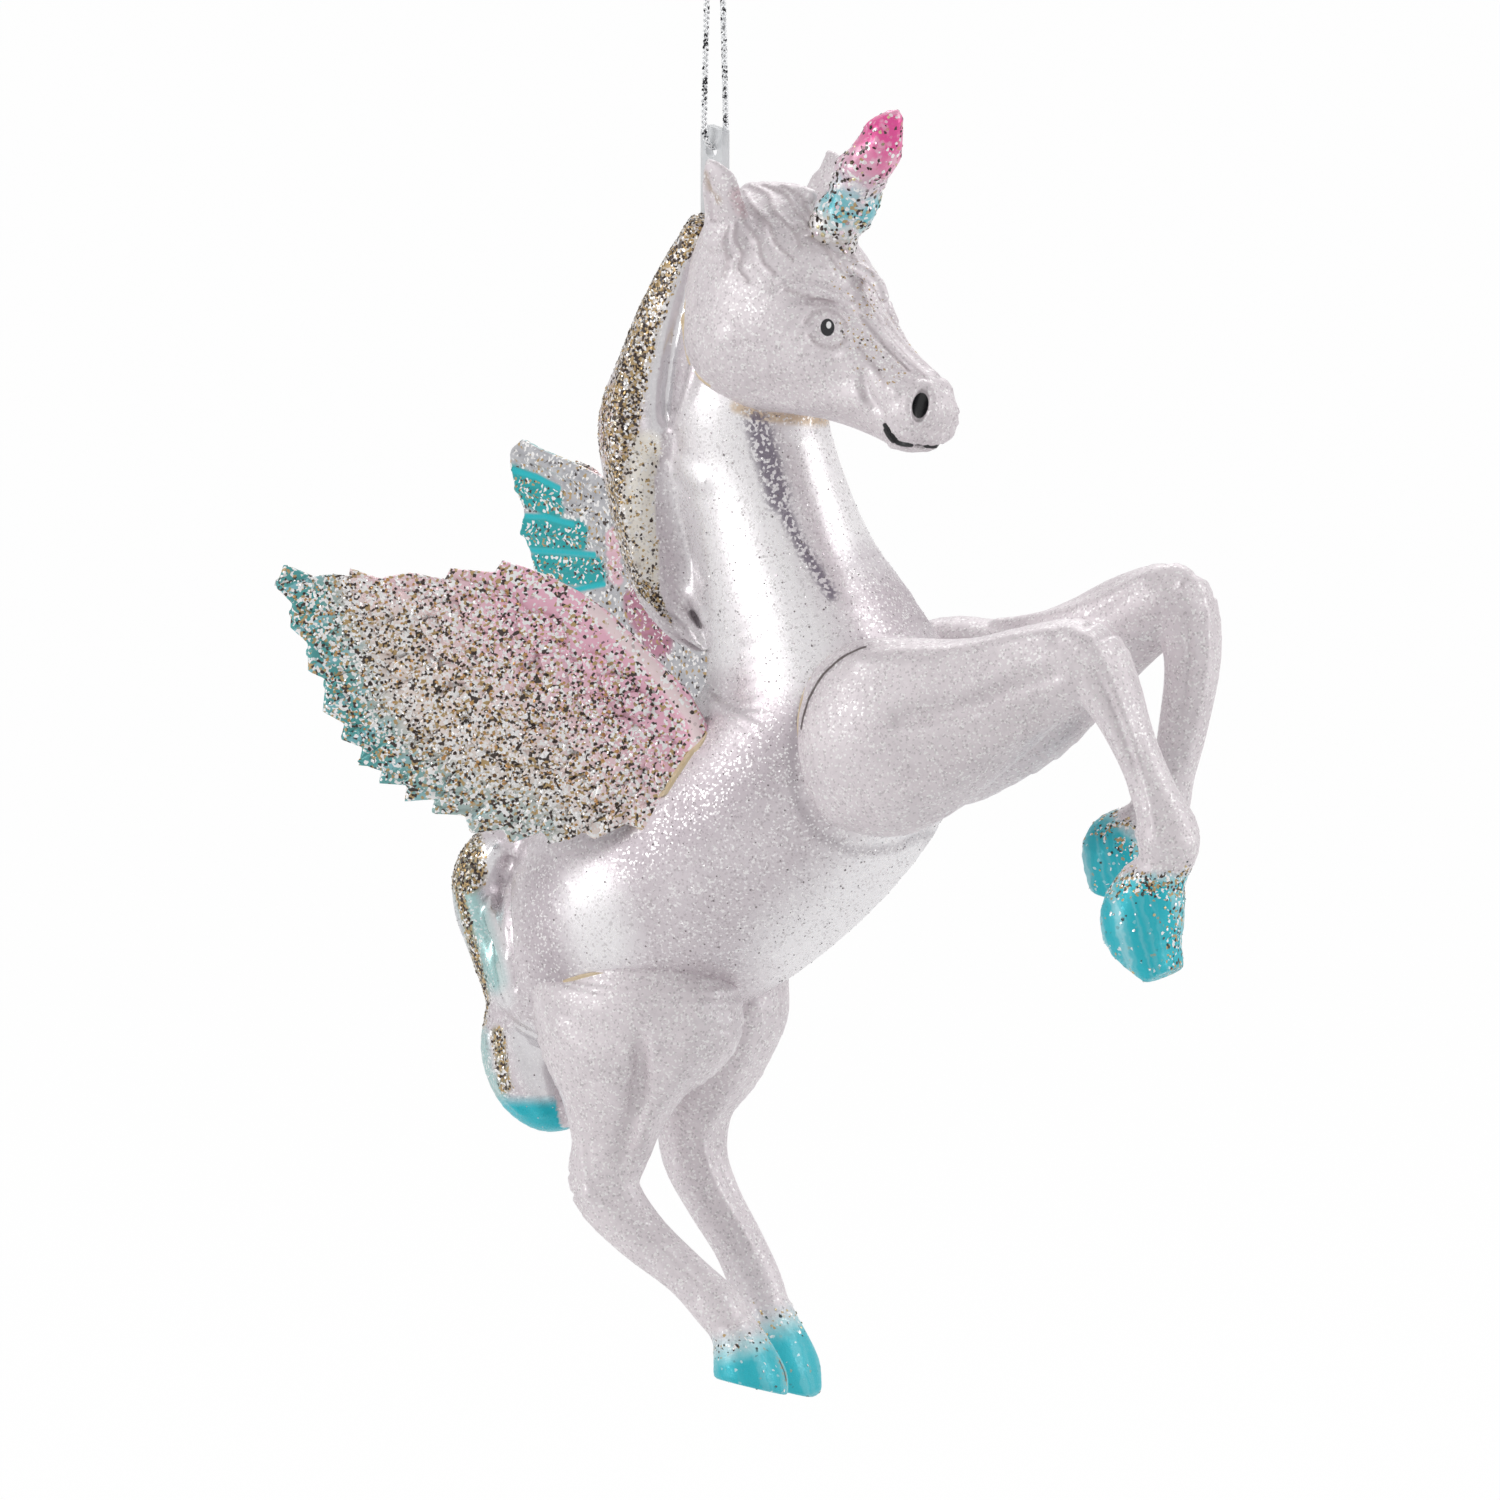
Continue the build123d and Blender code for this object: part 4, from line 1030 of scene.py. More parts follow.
class Finish(Nodes):
    """A material with a principled shader, and short ways to add nodes to it."""

    def __init__(self, name):
        self.material = bpy.data.materials.new(name)
        self.material.use_nodes = True
        super().__init__(self.material.node_tree)
        self.shader = self.tree.nodes["Principled BSDF"]
        self.place = self.node("ShaderNodeTexCoord", {}, {}, "Object")

    def value(self, kind, settings, inputs, output=0):
        return Value(self, self.node(kind, settings, inputs, output))

    def vector(self, operation, inputs):
        """A Vector Math node that gives a vector."""
        return self.node("ShaderNodeVectorMath", {"operation": operation}, inputs)

    def length(self, operation, inputs):
        """A Vector Math node that gives a number."""
        return self.value("ShaderNodeVectorMath", {"operation": operation}, inputs, "Value")

    def along(self, direction, start=(0, 0, 0)):
        """How far a point lies along a direction, in mm."""
        moved = self.vector("SUBTRACT", [self.place, tuple(np.array(start) * MM)])
        return self.length("DOT_PRODUCT", [moved, tuple(direction)]) / MM

    def away(self, point):
        """How far a point lies from another, in mm."""
        return self.length("DISTANCE", [self.place, tuple(np.array(point) * MM)]) / MM

    def near(self, points):
        """How far a point lies from a line through points, in mm."""
        best = None
        for a, b in zip(points[:-1], points[1:]):
            step = (np.array(b) - np.array(a)) * MM
            from_a = self.vector("SUBTRACT", [self.place, tuple(np.array(a) * MM)])
            share = self.length("DOT_PRODUCT", [from_a, tuple(step / (step @ step))]).held()
            foot = self.vector("SCALE", {0: tuple(step), "Scale": share})
            apart = self.length("DISTANCE", [from_a, foot]) / MM
            best = apart if best is None else best.smallest(apart)
        return best

    def noise(self, size_mm, detail=3.0, offset=0.0):
        """Soft noise whose lumps are about this large."""
        shifted = self.vector("ADD", [self.place, (offset, offset, offset)])
        inputs = {"Vector": shifted, "Scale": 1 / (size_mm * MM), "Detail": detail}
        return self.value("ShaderNodeTexNoise", {}, inputs, "Fac")

    def cells(self, size_mm):
        """Random colours in cells of about this size, for glitter."""
        return self.node("ShaderNodeTexVoronoi", {}, {"Vector": self.place, "Scale": 1 / (size_mm * MM)},
                         "Color")

    def stored(self, label):
        """A number kept on the mesh's own points."""
        return self.value("ShaderNodeAttribute", {"attribute_name": label}, {}, "Fac")

    def channel(self, colour, which=0):
        return self.value("ShaderNodeSeparateColor", {}, [colour], which)

    def mix(self, mask, a, b):
        """Colour a where the mask is 0 and colour b where it is 1."""
        return self.node("ShaderNodeMix", {"data_type": "RGBA"}, {0: mask, 6: a, 7: b}, 2)

    def layers(self, colour, *paints):
        """Paints laid over a colour one by one, each a mask and a colour."""
        for mask, paint in paints:
            colour = self.mix(mask, colour, paint)
        return colour

    def use(self, **sockets):
        """Sets or links the shader's own sockets, named with underscores."""
        for label, given in sockets.items():
            self.give(self.shader.inputs[label.replace("_", " ")], given)
        return self

    def bumped(self, height, distance_mm, strength=1.0):
        """A bump from a height that runs from 0 to 1."""
        inputs = {"Strength": strength, "Distance": distance_mm * MM, "Height": height}
        return self.use(Normal=self.node("ShaderNodeBump", {}, inputs, "Normal"))


PEARL = (0.7, 0.64, 0.672)
PEARL_SHADE = (0.5, 0.445, 0.475)
SILVER = (0.72, 0.7, 0.72)
TEAL = (0.0, 0.47, 0.56)
AQUA = (0.22, 0.68, 0.74)
HOT_PINK = (0.84, 0.08, 0.34)
ROSE = (0.5, 0.22, 0.31)
GOLD = (0.48, 0.33, 0.15)
CREAM = (0.92, 0.87, 0.78)
WHITE = (0.93, 0.915, 0.91)
UMBER = (0.045, 0.028, 0.022)
AMBER = (0.6, 0.44, 0.28)
INK = (0.006, 0.006, 0.008)
FROST_MM, FROST_SHARE = 0.24, 0.2
PEARL_METAL = 0.2


def frosted(finish, colour, roughness):
    """Fine frosting in a finish: some cells shine a little, others are a little darker."""
    cells = finish.cells(FROST_MM)
    luck, other = finish.channel(cells, 0), finish.channel(cells, 1)
    shining = luck.step(1 - FROST_SHARE, 1 - FROST_SHARE * 0.5)
    darker = other.step(1 - FROST_SHARE * 0.8, 1 - FROST_SHARE * 0.3)
    colour = finish.layers(colour, (shining * 0.75, WHITE), (darker * 0.3, (0.16, 0.13, 0.14)))
    return colour, (shining * -0.2 + roughness).held(), luck


def glittered(finish, colour, size_mm, dense, gold, dark, white):
    """Chunky glitter: cells of white, gold and near black, as thick as the mask dense says."""
    cells = finish.cells(size_mm)
    for which, share, tint in ((2, white, WHITE), (1, gold, GOLD), (0, dark, UMBER)):
        cell = finish.channel(cells, which)
        colour = finish.mix(cell.step(1 - dense * share, 1.03 - dense * share), colour, tint)
    return colour, finish.channel(cells, 1)


def pearl_finish(name):
    """The satin pearl paint of the castings."""
    finish = Finish(name)
    cloudy = (finish.noise(6.0) * 2.0 - 0.6).held()
    fine = (finish.noise(0.9, offset=0.2) * 2.4 - 0.9).held()
    colour = finish.mix(cloudy, (0.8, 0.74, 0.765), (0.68, 0.62, 0.648))
    return finish, finish.mix(fine * 0.3, colour, PEARL_SHADE)


def keep_on_points(thing, label, amounts):
    """Stores a number for each of a mesh's points."""
    store = thing.data.attributes.new(label, "FLOAT", "POINT")
    store.data.foreach_set("value", np.clip(amounts, 0, 1).astype(np.float32))


def points_of(thing, kind=float):
    """A mesh's points in mm."""
    where = np.empty(len(thing.data.vertices) * 3, np.float32)
    thing.data.vertices.foreach_get("co", where)
    return where.reshape(-1, 3).astype(kind) / MM


print("a finish is a principled shader with colours worked out by nodes")

# %% [markdown]
# ## The glass finish
# The glass is silvered and frosted, with gold, cream, rose and teal along its edges. Light and shade are
# painted
# on it as well: painted highlights on the neck, the rump, beside the mane and on the belly, a dark painted
# reflection down the middle of the neck, painted shade on the flank, the chest and beside the rump, and a
# painted shade line round the shoulder pad. Each colour lies on bands drawn on the picture: a line, the
# distance up to which the paint is full, and the one where it ends. The far side is the mirror image. The
# shares are kept on the mesh's points, and the finish reads them.

# %% The glass finish
glass_bands = {
    "gold": [([(692, 226), (668, 256), (652, 296), (638, 346), (628, 388), (622, 430), (622, 470)], 11, 20),
             ([(618, 480), (624, 516), (636, 560), (650, 588)], 7, 17),
             ([(648, 590), (668, 606), (690, 626), (706, 644)], 6, 13)],
    "cream": [([(646, 450), (640, 490), (641, 530), (654, 570)], 13, 22),
              ([(668, 588), (690, 600), (700, 620)], 4, 14)],
    "rose": [([(612, 396), (610, 420), (614, 450)], 7, 17)],
    "silver": [([(700, 244), (682, 286), (668, 330), (660, 380), (664, 430), (690, 476)], 10, 24),
               ([(690, 640), (704, 660)], 4, 10)],
    "amber": [([(736, 408), (764, 417), (800, 420), (832, 421)], 3, 8)],
    "olive": [([(456, 824), (460, 846), (464, 874)], 16, 24),
              ([(454, 880), (470, 940), (484, 1000), (480, 1024)], 2, 6),
              ([(496, 1034), (500, 1060), (504, 1088)], 3, 8)],
    "teal": [([(458, 870), (470, 910), (482, 950), (490, 980)], 7, 20),
             ([(476, 1036), (480, 1070), (496, 1100)], 6, 14)],
    "tail_silver": [([(490, 850), (488, 900), (498, 960), (504, 1000)], 6, 14),
                    ([(524, 1040), (534, 1070), (545, 1090)], 12, 22)],
    # painted highlights on the neck, to the left and right of the dark painted reflection
    "painted_neck_highlight": [([(722, 424), (744, 500), (770, 580), (800, 650)], 20, 60),
               ([(808, 432), (838, 500), (870, 560)], 12, 32)],
    # a dark painted reflection down the middle of the neck
    "painted_reflection_stripe": [([(757, 424), (768, 460), (779, 500)], 8, 18), ([(779, 500), (800, 545), (831, 595)], 3, 10)],
    # a painted shade line round the shoulder pad
    "painted_crease_shade": [([(862, 640), (838, 660), (814, 684), (796, 722), (790, 760), (796, 800), (816, 834),
                 (852, 852), (896, 848), (934, 828), (962, 804)], 2, 8)],
    "crack": [([(862, 644), (838, 655), (818, 672), (804, 698), (798, 724)], 1.5, 3.5)],
    # painted highlights on the rump, down the neck beside the mane and on the belly
    "painted_body_highlight": [([(588, 905), (602, 945)], 14, 50), ([(688, 480), (704, 560), (726, 650)], 8, 34),
             ([(800, 950), (860, 890), (910, 830)], 16, 70)],
    # painted shade on the flank, the chest and beside the rump, which is also rougher
    "painted_body_shade": [([(640, 850), (710, 800), (790, 740)], 12, 46), ([(868, 560), (900, 620)], 8, 30),
            ([(546, 880), (544, 940), (560, 990)], 6, 30)],
}
TAIL_FOOT_V = (1096, 1108)  # where the teal at the tail's foot starts and is full
# how far forward the mane reaches at each height, in mm
MANE_HEIGHTS, MANE_FRONT = [-100, -90, -80, -66, -50, -31], [2, -1, -4, -5, -2, 2]
# the tail lies behind and below these, and the trunk goes on behind the mane below its own height
TAIL_X, TAIL_Z, TRUNK_Z = -20, -105, -98


def near_side(points):
    """Where points, or their mirror images on the near side, show in the picture."""
    return picture_place(np.column_stack([points[:, 0], -np.abs(points[:, 1]), points[:, 2]]))


def banded(places, *names):
    """The strongest of the named bands at each place of the picture."""
    bands = [band for name in names for band in glass_bands[name]]
    return np.max([fade(from_line(places, line), near, far) for line, near, far in bands], axis=0)


def glass_parts(points):
    """Which points of the glass belong to the mane, the tail and the trunk."""
    mane = points[:, 0] < np.interp(points[:, 2], MANE_HEIGHTS, MANE_FRONT)
    tail = (points[:, 0] < TAIL_X) & (points[:, 2] < TAIL_Z)
    return mane, tail, (~mane | (points[:, 2] < TRUNK_Z)) & ~tail


skin = points_of(glass_body)
places = near_side(skin)
mane, tail, trunk = glass_parts(skin)
where_laid = {"gold": mane, "cream": mane, "rose": mane, "silver": mane, "olive": tail, "teal": tail,
              "tail_silver": tail, "painted_neck_highlight": ~mane, "painted_body_highlight": trunk, "painted_body_shade": trunk}
masks = {name: banded(places, name) * where_laid.get(name, 1) for name in glass_bands}
masks["silver"] = masks["silver"] + masks.pop("tail_silver")
masks["gold"] = (masks["gold"] + masks["olive"]) * (1 - 0.85 * masks["cream"])
masks["foot"] = np.interp(places[:, 1], TAIL_FOOT_V, (0, 1)) * tail
for label, amounts in masks.items():
    keep_on_points(glass_body, label, amounts)

finish = Finish("silvered_pearl_glass")
on = finish.stored
cloudy = (finish.noise(9.0) * 2.0 - 0.6).held()
# the pearl, with painted highlights, painted shade and a painted shade line laid on it, then the silver,
# amber, teal, cream, rose, gold and olive paints
shade = finish.layers(
    finish.mix(cloudy, PEARL, (0.57, 0.515, 0.545)), (on("painted_neck_highlight"), (0.88, 0.855, 0.87)),
    (on("painted_body_highlight") * 0.85, (0.92, 0.9, 0.915)), (on("painted_body_shade") * 0.55, (0.42, 0.365, 0.4)),
    (on("painted_crease_shade") * 0.45, (0.34, 0.3, 0.33)), (on("silver"), SILVER), (on("amber") * 0.8, AMBER),
    (on("teal") * 0.7, (0.25, 0.56, 0.54)), (on("cream") * 0.9, CREAM), (on("rose") * 0.8, (0.6, 0.4, 0.38)),
    (on("gold") * 0.45, (0.55, 0.46, 0.32)), (on("olive") * 0.85, (0.24, 0.22, 0.12)))
colour, rough, luck = frosted(finish, shade, 0.24)
bubbles = finish.channel(finish.cells(0.36), 1).step(0.3, 0.5)
# over the frost: silver, the teal foot, the dark crack, and the dark painted reflection broken by cells
colour = finish.layers(colour, (on("silver") * 0.75, shade), (on("foot"), TEAL), (on("crack") * 0.8, UMBER),
                       (on("painted_reflection_stripe") * bubbles * 0.9, (0.17, 0.14, 0.19)))
dense = on("gold").largest(on("rose") * 0.8).largest(on("cream") * 0.22)
colour = glittered(finish, colour, 0.32, dense, gold=0.5, dark=0.36, white=0.4)[0]
dull = dense.largest(on("foot")).largest(on("cream"))
frost = 1 - on("silver")
finish.use(Base_Color=colour, Roughness=(rough + frost * 0.14 + dense * 0.1 + on("painted_body_shade") * 0.16).held(),
           Metallic=(0.8 - frost * 0.35 - dull * 0.4).held(), Coat_Weight=(0.3 - frost * 0.25).held(),
           Coat_Roughness=0.15).bumped(luck, 0.035, 0.3)
glass_body.data.materials.append(finish.material)
print("bands of paint on the glass", len(masks))

# %% [markdown]
# ## The legs' finish
# The castings are satin pearl. On a leg the pearl turns teal down the hoof, with a band of glitter above it
# on the forelegs. Dark hairlines show where the castings meet: the crack at the shoulder and the line
# between the hind hooves.

# %% The legs' finish
seams = {
    "right_foreleg": [(864, 648), (842, 658), (822, 676), (808, 700), (801, 728)],
    "right_hind_leg": [(746, 1290), (758, 1312), (770, 1338), (780, 1362), (786, 1380)],
}
# where the teal starts and is full below the band, where it deepens, by how much, and the streaks; then how
# much glitter there is in the band, on the hoof and more on its front; then the colour beside a seam
fore_look = ((-0.6, 1.2), (1.0, 4.0), 0.95, 0.55, 1.0, 0.06, 0.36, PEARL_SHADE)
hind_look = ((-1.0, 4.5), (3.4, 6.4), 0.92, 0.22, 0.25, 0.05, 0.0, GOLD)


def hoofed_finish(name, band, sole, look):
    """Pearl paint that turns teal on the hoof."""
    teal_from, deep_from, deepest, streaky, in_band, on_hoof, on_front, beside = look
    finish, colour = pearl_finish(f"{name}_paint")
    middle_of_hoof = (band + sole) / 2
    down = finish.along((sole - band) / np.linalg.norm(sole - band), band)
    across = finish.along(RIGHT, middle_of_hoof)
    near = 1 - finish.away(middle_of_hoof).step(10.0, 12.0)
    wave = finish.noise(1.6) * 2.4 - 1.2
    hoof = (down + wave).step(*teal_from) * near
    deep = (down + finish.noise(2.4, offset=0.3) * 4).step(*deep_from)
    run = across * 0.5 + wave * 0.3 - down * 0.12
    streaks = finish.value("ShaderNodeTexNoise", {"noise_dimensions": "1D"}, {
        "W": run, "Scale": 1.0, "Detail": 2.0}, "Fac").step(0.46, 0.72)
    colour, rough, luck = frosted(finish, colour, 0.5)
    colour = finish.layers(colour, (hoof * 0.9, AQUA), (hoof * (deep * deepest), TEAL),
                           (hoof * streaks * streaky, (0.5, 0.76, 0.81)))
    band_mask = down.step(-1.2, 0.2) * (1 - down.step(1.6, 3.6)) * near
    band_mask = (band_mask * finish.noise(1.4, offset=0.7).step(0.4, 0.6)).held()
    dense = (band_mask * in_band + hoof * (across.step(-1.0, 2.5) * on_front + on_hoof)).held()
    colour = glittered(finish, colour, 0.34, dense, gold=0.35, dark=0.28, white=0.45)[0]
    seam = trace(leg_clays[name], seams.get(name, []))
    print(name, "seam points", len(seam))
    if len(seam) > 1:
        apart = finish.near(seam)
        grains = finish.channel(finish.cells(0.3)).step(0.5, 0.6)
        colour = finish.layers(colour, ((1 - apart.step(0.5, 1.0)) * grains * 0.8, beside),
                               ((1 - apart.step(0.14, 0.38)) * 0.9, UMBER))
    finish.use(Base_Color=colour, Roughness=rough, Metallic=PEARL_METAL, Coat_Weight=0.05)
    return finish.bumped(luck, 0.05, 0.4).material


for name, (band, sole) in hoof_places.items():
    look = fore_look if "fore" in name else hind_look
    leg_pieces[name].data.materials.append(hoofed_finish(name, band, sole, look))

# %% [markdown]
# ## The head's finish
# The head is pearl too, with painted shade in its creases, brown and pink in the ears and specks on the
# brow. Black ink lies in the eyes, the nostrils and the mouth, with a small painted white highlight in each
# eye.

# %% The head's finish
INK_TILT = math.radians(10)


def oval(finish, middle, wide_way, tall_way, half_wide, half_tall):
    """How far out a point is in an oval round a middle, 1 on its edge, far away behind it."""
    p = finish.along(wide_way / half_wide, middle)
    q = finish.along(tall_way / half_tall, middle)
    deep = finish.along(np.cross(wide_way, tall_way) / 3.0, middle)
    return (p * p + q * q) ** 0.5 + (deep * deep).step(0.8, 1.2) * 9


def flipped(way):
    """A direction as it is on the head's other side."""
    return way - 2 * (way @ HEAD_LEFT) * HEAD_LEFT


def on_head(label, lines, near, far):
    """Keeps a soft band on the head's points along lines of the picture, on both of its sides."""
    ways = [trace(head, line) for line in lines]
    ways += [mirrored(way) for way in ways]
    distance = np.min([from_line(points_of(head_piece), way) for way in ways], axis=0)
    keep_on_points(head_piece, label, fade(distance, near, far))


def inked(finish, eye, nostril, mouth, right_way, up_way):
    """Where the ink lies on one side of the head, and the painted highlight in its eye."""
    leant_up = up_way * math.cos(INK_TILT) + right_way * math.sin(INK_TILT)
    leant_right = right_way * math.cos(INK_TILT) - up_way * math.sin(INK_TILT)
    ring = 1 - oval(finish, eye, right_way, up_way, 0.88, 1.1).step(0.94, 1.04)
    hole = 1 - oval(finish, nostril, leant_right, leant_up, 1.02, 1.62).step(0.94, 1.04)
    lips = 1 - finish.near(mouth).step(0.24, 0.36)
    corner = 1 - finish.near(mouth[1:4]).step(0.42, 0.56)
    # the painted highlight: a small white oval up and to one side in the eye
    shine = oval(finish, eye + up_way * 0.3 + right_way * 0.16, right_way, up_way, 0.32, 0.46)
    return ring.largest(hole).largest(lips).largest(corner), 1 - shine.step(0.85, 1.1)


on_head("ear_fold", [[(706, 178), (711, 190), (718, 202)]], 0.2, 0.9)
on_head("ear_front", [[(738, 198), (744, 212)]], 0.3, 1.5)
on_head("speckles", [[(850, 335), (885, 375)], [(850, 282), (878, 308)]], 0.6, 3.4)
# painted shade along the lids, the brow, the ridges of the face and the grooves of the hair
on_head("painted_crease_shade", [
    upper_lid, lower_lid, [(784, 292), (808, 300), (832, 304)], [(858, 316), (884, 348), (908, 374)],
    [(876, 318), (898, 350), (924, 380)], [(884, 389), (876, 372), (858, 350)], *hair_lines[:9]], 0.12, 0.45)
mouth = trace(head, smooth_rows(mouth_line, 2))
print("mouth points", len(mouth))
finish, colour = pearl_finish("head_paint")
colour = finish.layers(colour, (finish.stored("ear_fold") * 0.6, (0.42, 0.3, 0.2)),
                       (finish.stored("ear_front") * 0.5, (0.66, 0.42, 0.46)))
colour, rough, luck = frosted(finish, colour, 0.54)
specks = finish.stored("speckles") * 0.34 + 0.02
colour = glittered(finish, colour, 0.24, specks, gold=0.2, dark=0.12, white=0.45)[0]
near_ink, near_glint = inked(finish, eye, nostril, mouth, RIGHT, UP)
far_ink, far_glint = inked(finish, mirrored(eye)[0], mirrored(nostril)[0], mirrored(mouth), flipped(RIGHT),
                           flipped(UP))
ink, glint = near_ink.largest(far_ink), near_glint.largest(far_glint)
# painted shade in the creases, then the ink, then the painted white highlight in each eye
colour = finish.layers(colour, (finish.stored("painted_crease_shade") * 0.4, (0.34, 0.27, 0.29)), (ink, INK),
                       (glint, (0.92, 0.92, 0.92)))
finish.use(Base_Color=colour, Roughness=(rough - ink * 0.12).held(),
           Metallic=(PEARL_METAL - ink * PEARL_METAL).held(),
           Coat_Weight=0.15).bumped(luck, 0.05, 0.4)
head_piece.data.materials.append(finish.material)

# %% [markdown]
# ## The horn's finish
# Up the horn the paint goes from pale through teal and pale again to hot pink, in uneven patches, with
# glitter that is thickest at its foot.

# %% The horn's finish
horn_stops = [(0.0, (0.72, 0.68, 0.69)), (0.14, (0.72, 0.68, 0.64)), (0.22, (0.44, 0.68, 0.72)),
              (0.3, (0.1, 0.52, 0.6)), (0.38, (0.3, 0.6, 0.66)), (0.47, (0.7, 0.62, 0.68)),
              (0.62, (0.78, 0.4, 0.54)), (0.84, HOT_PINK)]
finish = Finish("horn_paint")
up_horn = (finish.along(horn_axis, horn_root) / HORN_MM + (finish.noise(2.2) * 0.3 - 0.15)).held()
ramp = finish.node("ShaderNodeValToRGB", {}, [up_horn], None)
while len(ramp.color_ramp.elements) < len(horn_stops):
    ramp.color_ramp.elements.new(0.5)
for element, (place, tint) in zip(ramp.color_ramp.elements, horn_stops):
    element.position, element.color = place, (*tint, 1)
patches = finish.noise(1.7, offset=0.6).step(0.5, 0.62) * (1 - up_horn.step(0.45, 0.6))
lighter = finish.noise(1.5, offset=1.1).step(0.5, 0.64) * up_horn.step(0.5, 0.62)
colour = finish.layers(ramp.outputs["Color"], (patches * 0.75, (0.78, 0.76, 0.79)),
                       (lighter * 0.6, (0.88, 0.56, 0.68)))
dense = (0.5 - up_horn * 0.26).held()
colour, chunks = glittered(finish, colour, 0.4, dense, gold=0.12, dark=0.3, white=0.4)
finish.use(Base_Color=colour, Roughness=(chunks * 0.2 + 0.28).held(), Metallic=0.2, Coat_Weight=0.3)
finish.bumped(chunks, 0.08, 0.5)
horn_piece.data.materials.append(finish.material)
print("colours up the horn", len(horn_stops))

# %% [markdown]
# ## The wings' finish
# The outer face is pink along its leading edge, teal at its tips and glittery between. The inner face,
# which shows on the far wing, is grey with teal between its long feathers and rose tufts at its root.

# %% The wings' finish
ridge_pink = [(0.02, -0.02), (0.12, 0.09), (0.26, 0.225), (0.38, 0.29)]
trailing_line = [(1.05, 0.3), (0.98, 0.1), (0.9, -0.08), (0.8, -0.2), (0.66, -0.28), (0.47, -0.34)]
DEEP_TEAL, GROOVE_TEAL, PALE_ROSE = (0.0, 0.37, 0.39), (0.0, 0.5, 0.56), (0.8, 0.52, 0.6)
# fields of one colour on the inner face: the line, the radius, where the edge starts and ends, the colour
inner_fields = [
    ([(508, 478), (530, 488), (548, 500)], 2.1, 0.9, 1.3, DEEP_TEAL),
    ([(517, 529), (546, 531), (574, 533)], 1.9, 0.9, 1.3, DEEP_TEAL),
    ([(534, 564), (560, 567), (592, 569)], 1.8, 0.9, 1.3, DEEP_TEAL),
    *[(line, 0.5, 0.8, 1.2, GROOVE_TEAL) for line in grooves],
    ([(612, 534), (614, 574)], 1.2, 0.8, 1.3, PALE_ROSE),
    ([(636, 604), (656, 636)], 2.6, 0.8, 1.3, ROSE),
]
INNER_GLITTER = 0.34


def outer_face(finish, wing, face):
    """Colour and thickness of glitter on the outer face."""
    wobble = finish.noise(3.0) * 3.0 - 1.5
    from_ridge = finish.near(wing.place(ridge_pink, face)) + wobble
    from_trailing = finish.near(wing.place(trailing_line, face)) + wobble
    s, t = (finish.along(way, wing.root) / WING_MM for way in (wing.back, wing.up))
    pink = (1 - from_ridge.step(3.0, 21.0)).largest((t - s * 0.05).step(0.14, 0.28) * 0.55)
    pink = pink * (1 - s.step(0.8, 0.92))
    teal = (1 - from_trailing.step(3.0, 9.5)) * (s.step(0.5, 0.85) * 0.5 + 0.5)
    streaks = ((t * 2.2 + s * 1.1) * 4).maths("FRACT").step(0.72, 0.92)
    smooth_ridge = 1 - finish.near(wing.place(ridge_line[:4], face)).step(0.5, 1.2)
    colour = finish.layers(
        (0.86, 0.75, 0.7), (pink, (0.86, 0.48, 0.6)), (teal * 0.95, (0.04, 0.33, 0.33)),
        (teal * streaks * 0.6, (0.3, 0.6, 0.68)), (smooth_ridge * 0.8, (0.84, 0.73, 0.72)))
    clumps = finish.noise(2.2, offset=0.9).step(0.5, 0.6)
    dense = (0.95 - pink * 0.26 - teal * 0.28 - clumps * 0.35).held()
    return colour, dense * (1 - smooth_ridge * 0.6)


def inner_face(finish, wing, face):
    """Colour and thickness of glitter on the inner face."""
    grain = (finish.noise(1.2, offset=0.5) * 2.4 - 0.7).held()
    colour, dense = finish.mix(grain, (0.6, 0.6, 0.62), (0.42, 0.42, 0.45)), INNER_GLITTER
    for line, radius, from_share, to_share, tint in inner_fields:
        apart = finish.near(wing.place(far_wing.under(line), face))
        colour = finish.mix(1 - apart.step(radius * from_share, radius * to_share), colour, tint)
        if tint is GROOVE_TEAL:
            dense = apart.step(0.5, 0.7) * dense
    return colour, dense


def wing_colours(name, wing):
    """A new finish with the colours of both faces, and how thick the glitter is."""
    finish = Finish(name)
    colour, dense = outer_face(finish, wing, WING_THICK / 2)
    within, within_dense = inner_face(finish, wing, -WING_THICK / 2)
    inner = (finish.along(wing.outer, wing.root) * -1).step(0.0, 0.3)
    return finish, finish.mix(inner, colour, within), dense * (1 - inner) + inner * within_dense


def wing_paint(name, wing):
    """The finish of a wing's plate and feathers."""
    finish, colour, dense = wing_colours(name, wing)
    colour, chunks = glittered(finish, colour, 0.36, dense, gold=0.26, dark=0.24, white=0.6)
    finish.use(Base_Color=colour, Roughness=(chunks * 0.2 + 0.3).held(), Metallic=0.15, Coat_Weight=0.1)
    return finish.bumped(chunks, 0.08, 0.5).material


wing_feathers = {}
for seed, (name, wing) in enumerate(wings.items(), 20):
    paint = wing_paint(f"{name}_paint", wing)
    wing_plates[name].data.materials.append(paint)
    wing_feathers[name] = placed_copies(f"{name}_feathers", feather_tree, *feather_places(wing, seed),
                                        feather, paint)

# %% [markdown]
# ## Loose glitter
# Chunky glitter lies on the paint as tiny five-sided foil flakes, thick on the wings and along the mane and
# thin on the horn and the hooves. Points are drawn by area over a piece, kept where the glitter is, and the
# same kind of tree sets a flake on each.

# %% Flakes
FLAKE_LIFT_MM, FLAKE_TILT = 0.04, 0.27
TONE_BLEND = 0.01


def flake_mesh(name, around=5, peak=0.14):
    """A thin closed foil chip one unit in radius, with a low peak on either side."""
    angles = [2 * math.pi * k / around for k in range(around)]
    ring = [(math.cos(angle), math.sin(angle), 0.0) for angle in angles]
    upper = [(k, (k + 1) % around, around) for k in range(around)]
    lower = [((k + 1) % around, k, around + 1) for k in range(around)]
    data = bpy.data.meshes.new(name)
    data.from_pydata([*ring, (0, 0, peak), (0, 0, -peak)], [], upper + lower)
    return linked(name, data)


flake = flake_mesh("flake_pattern")


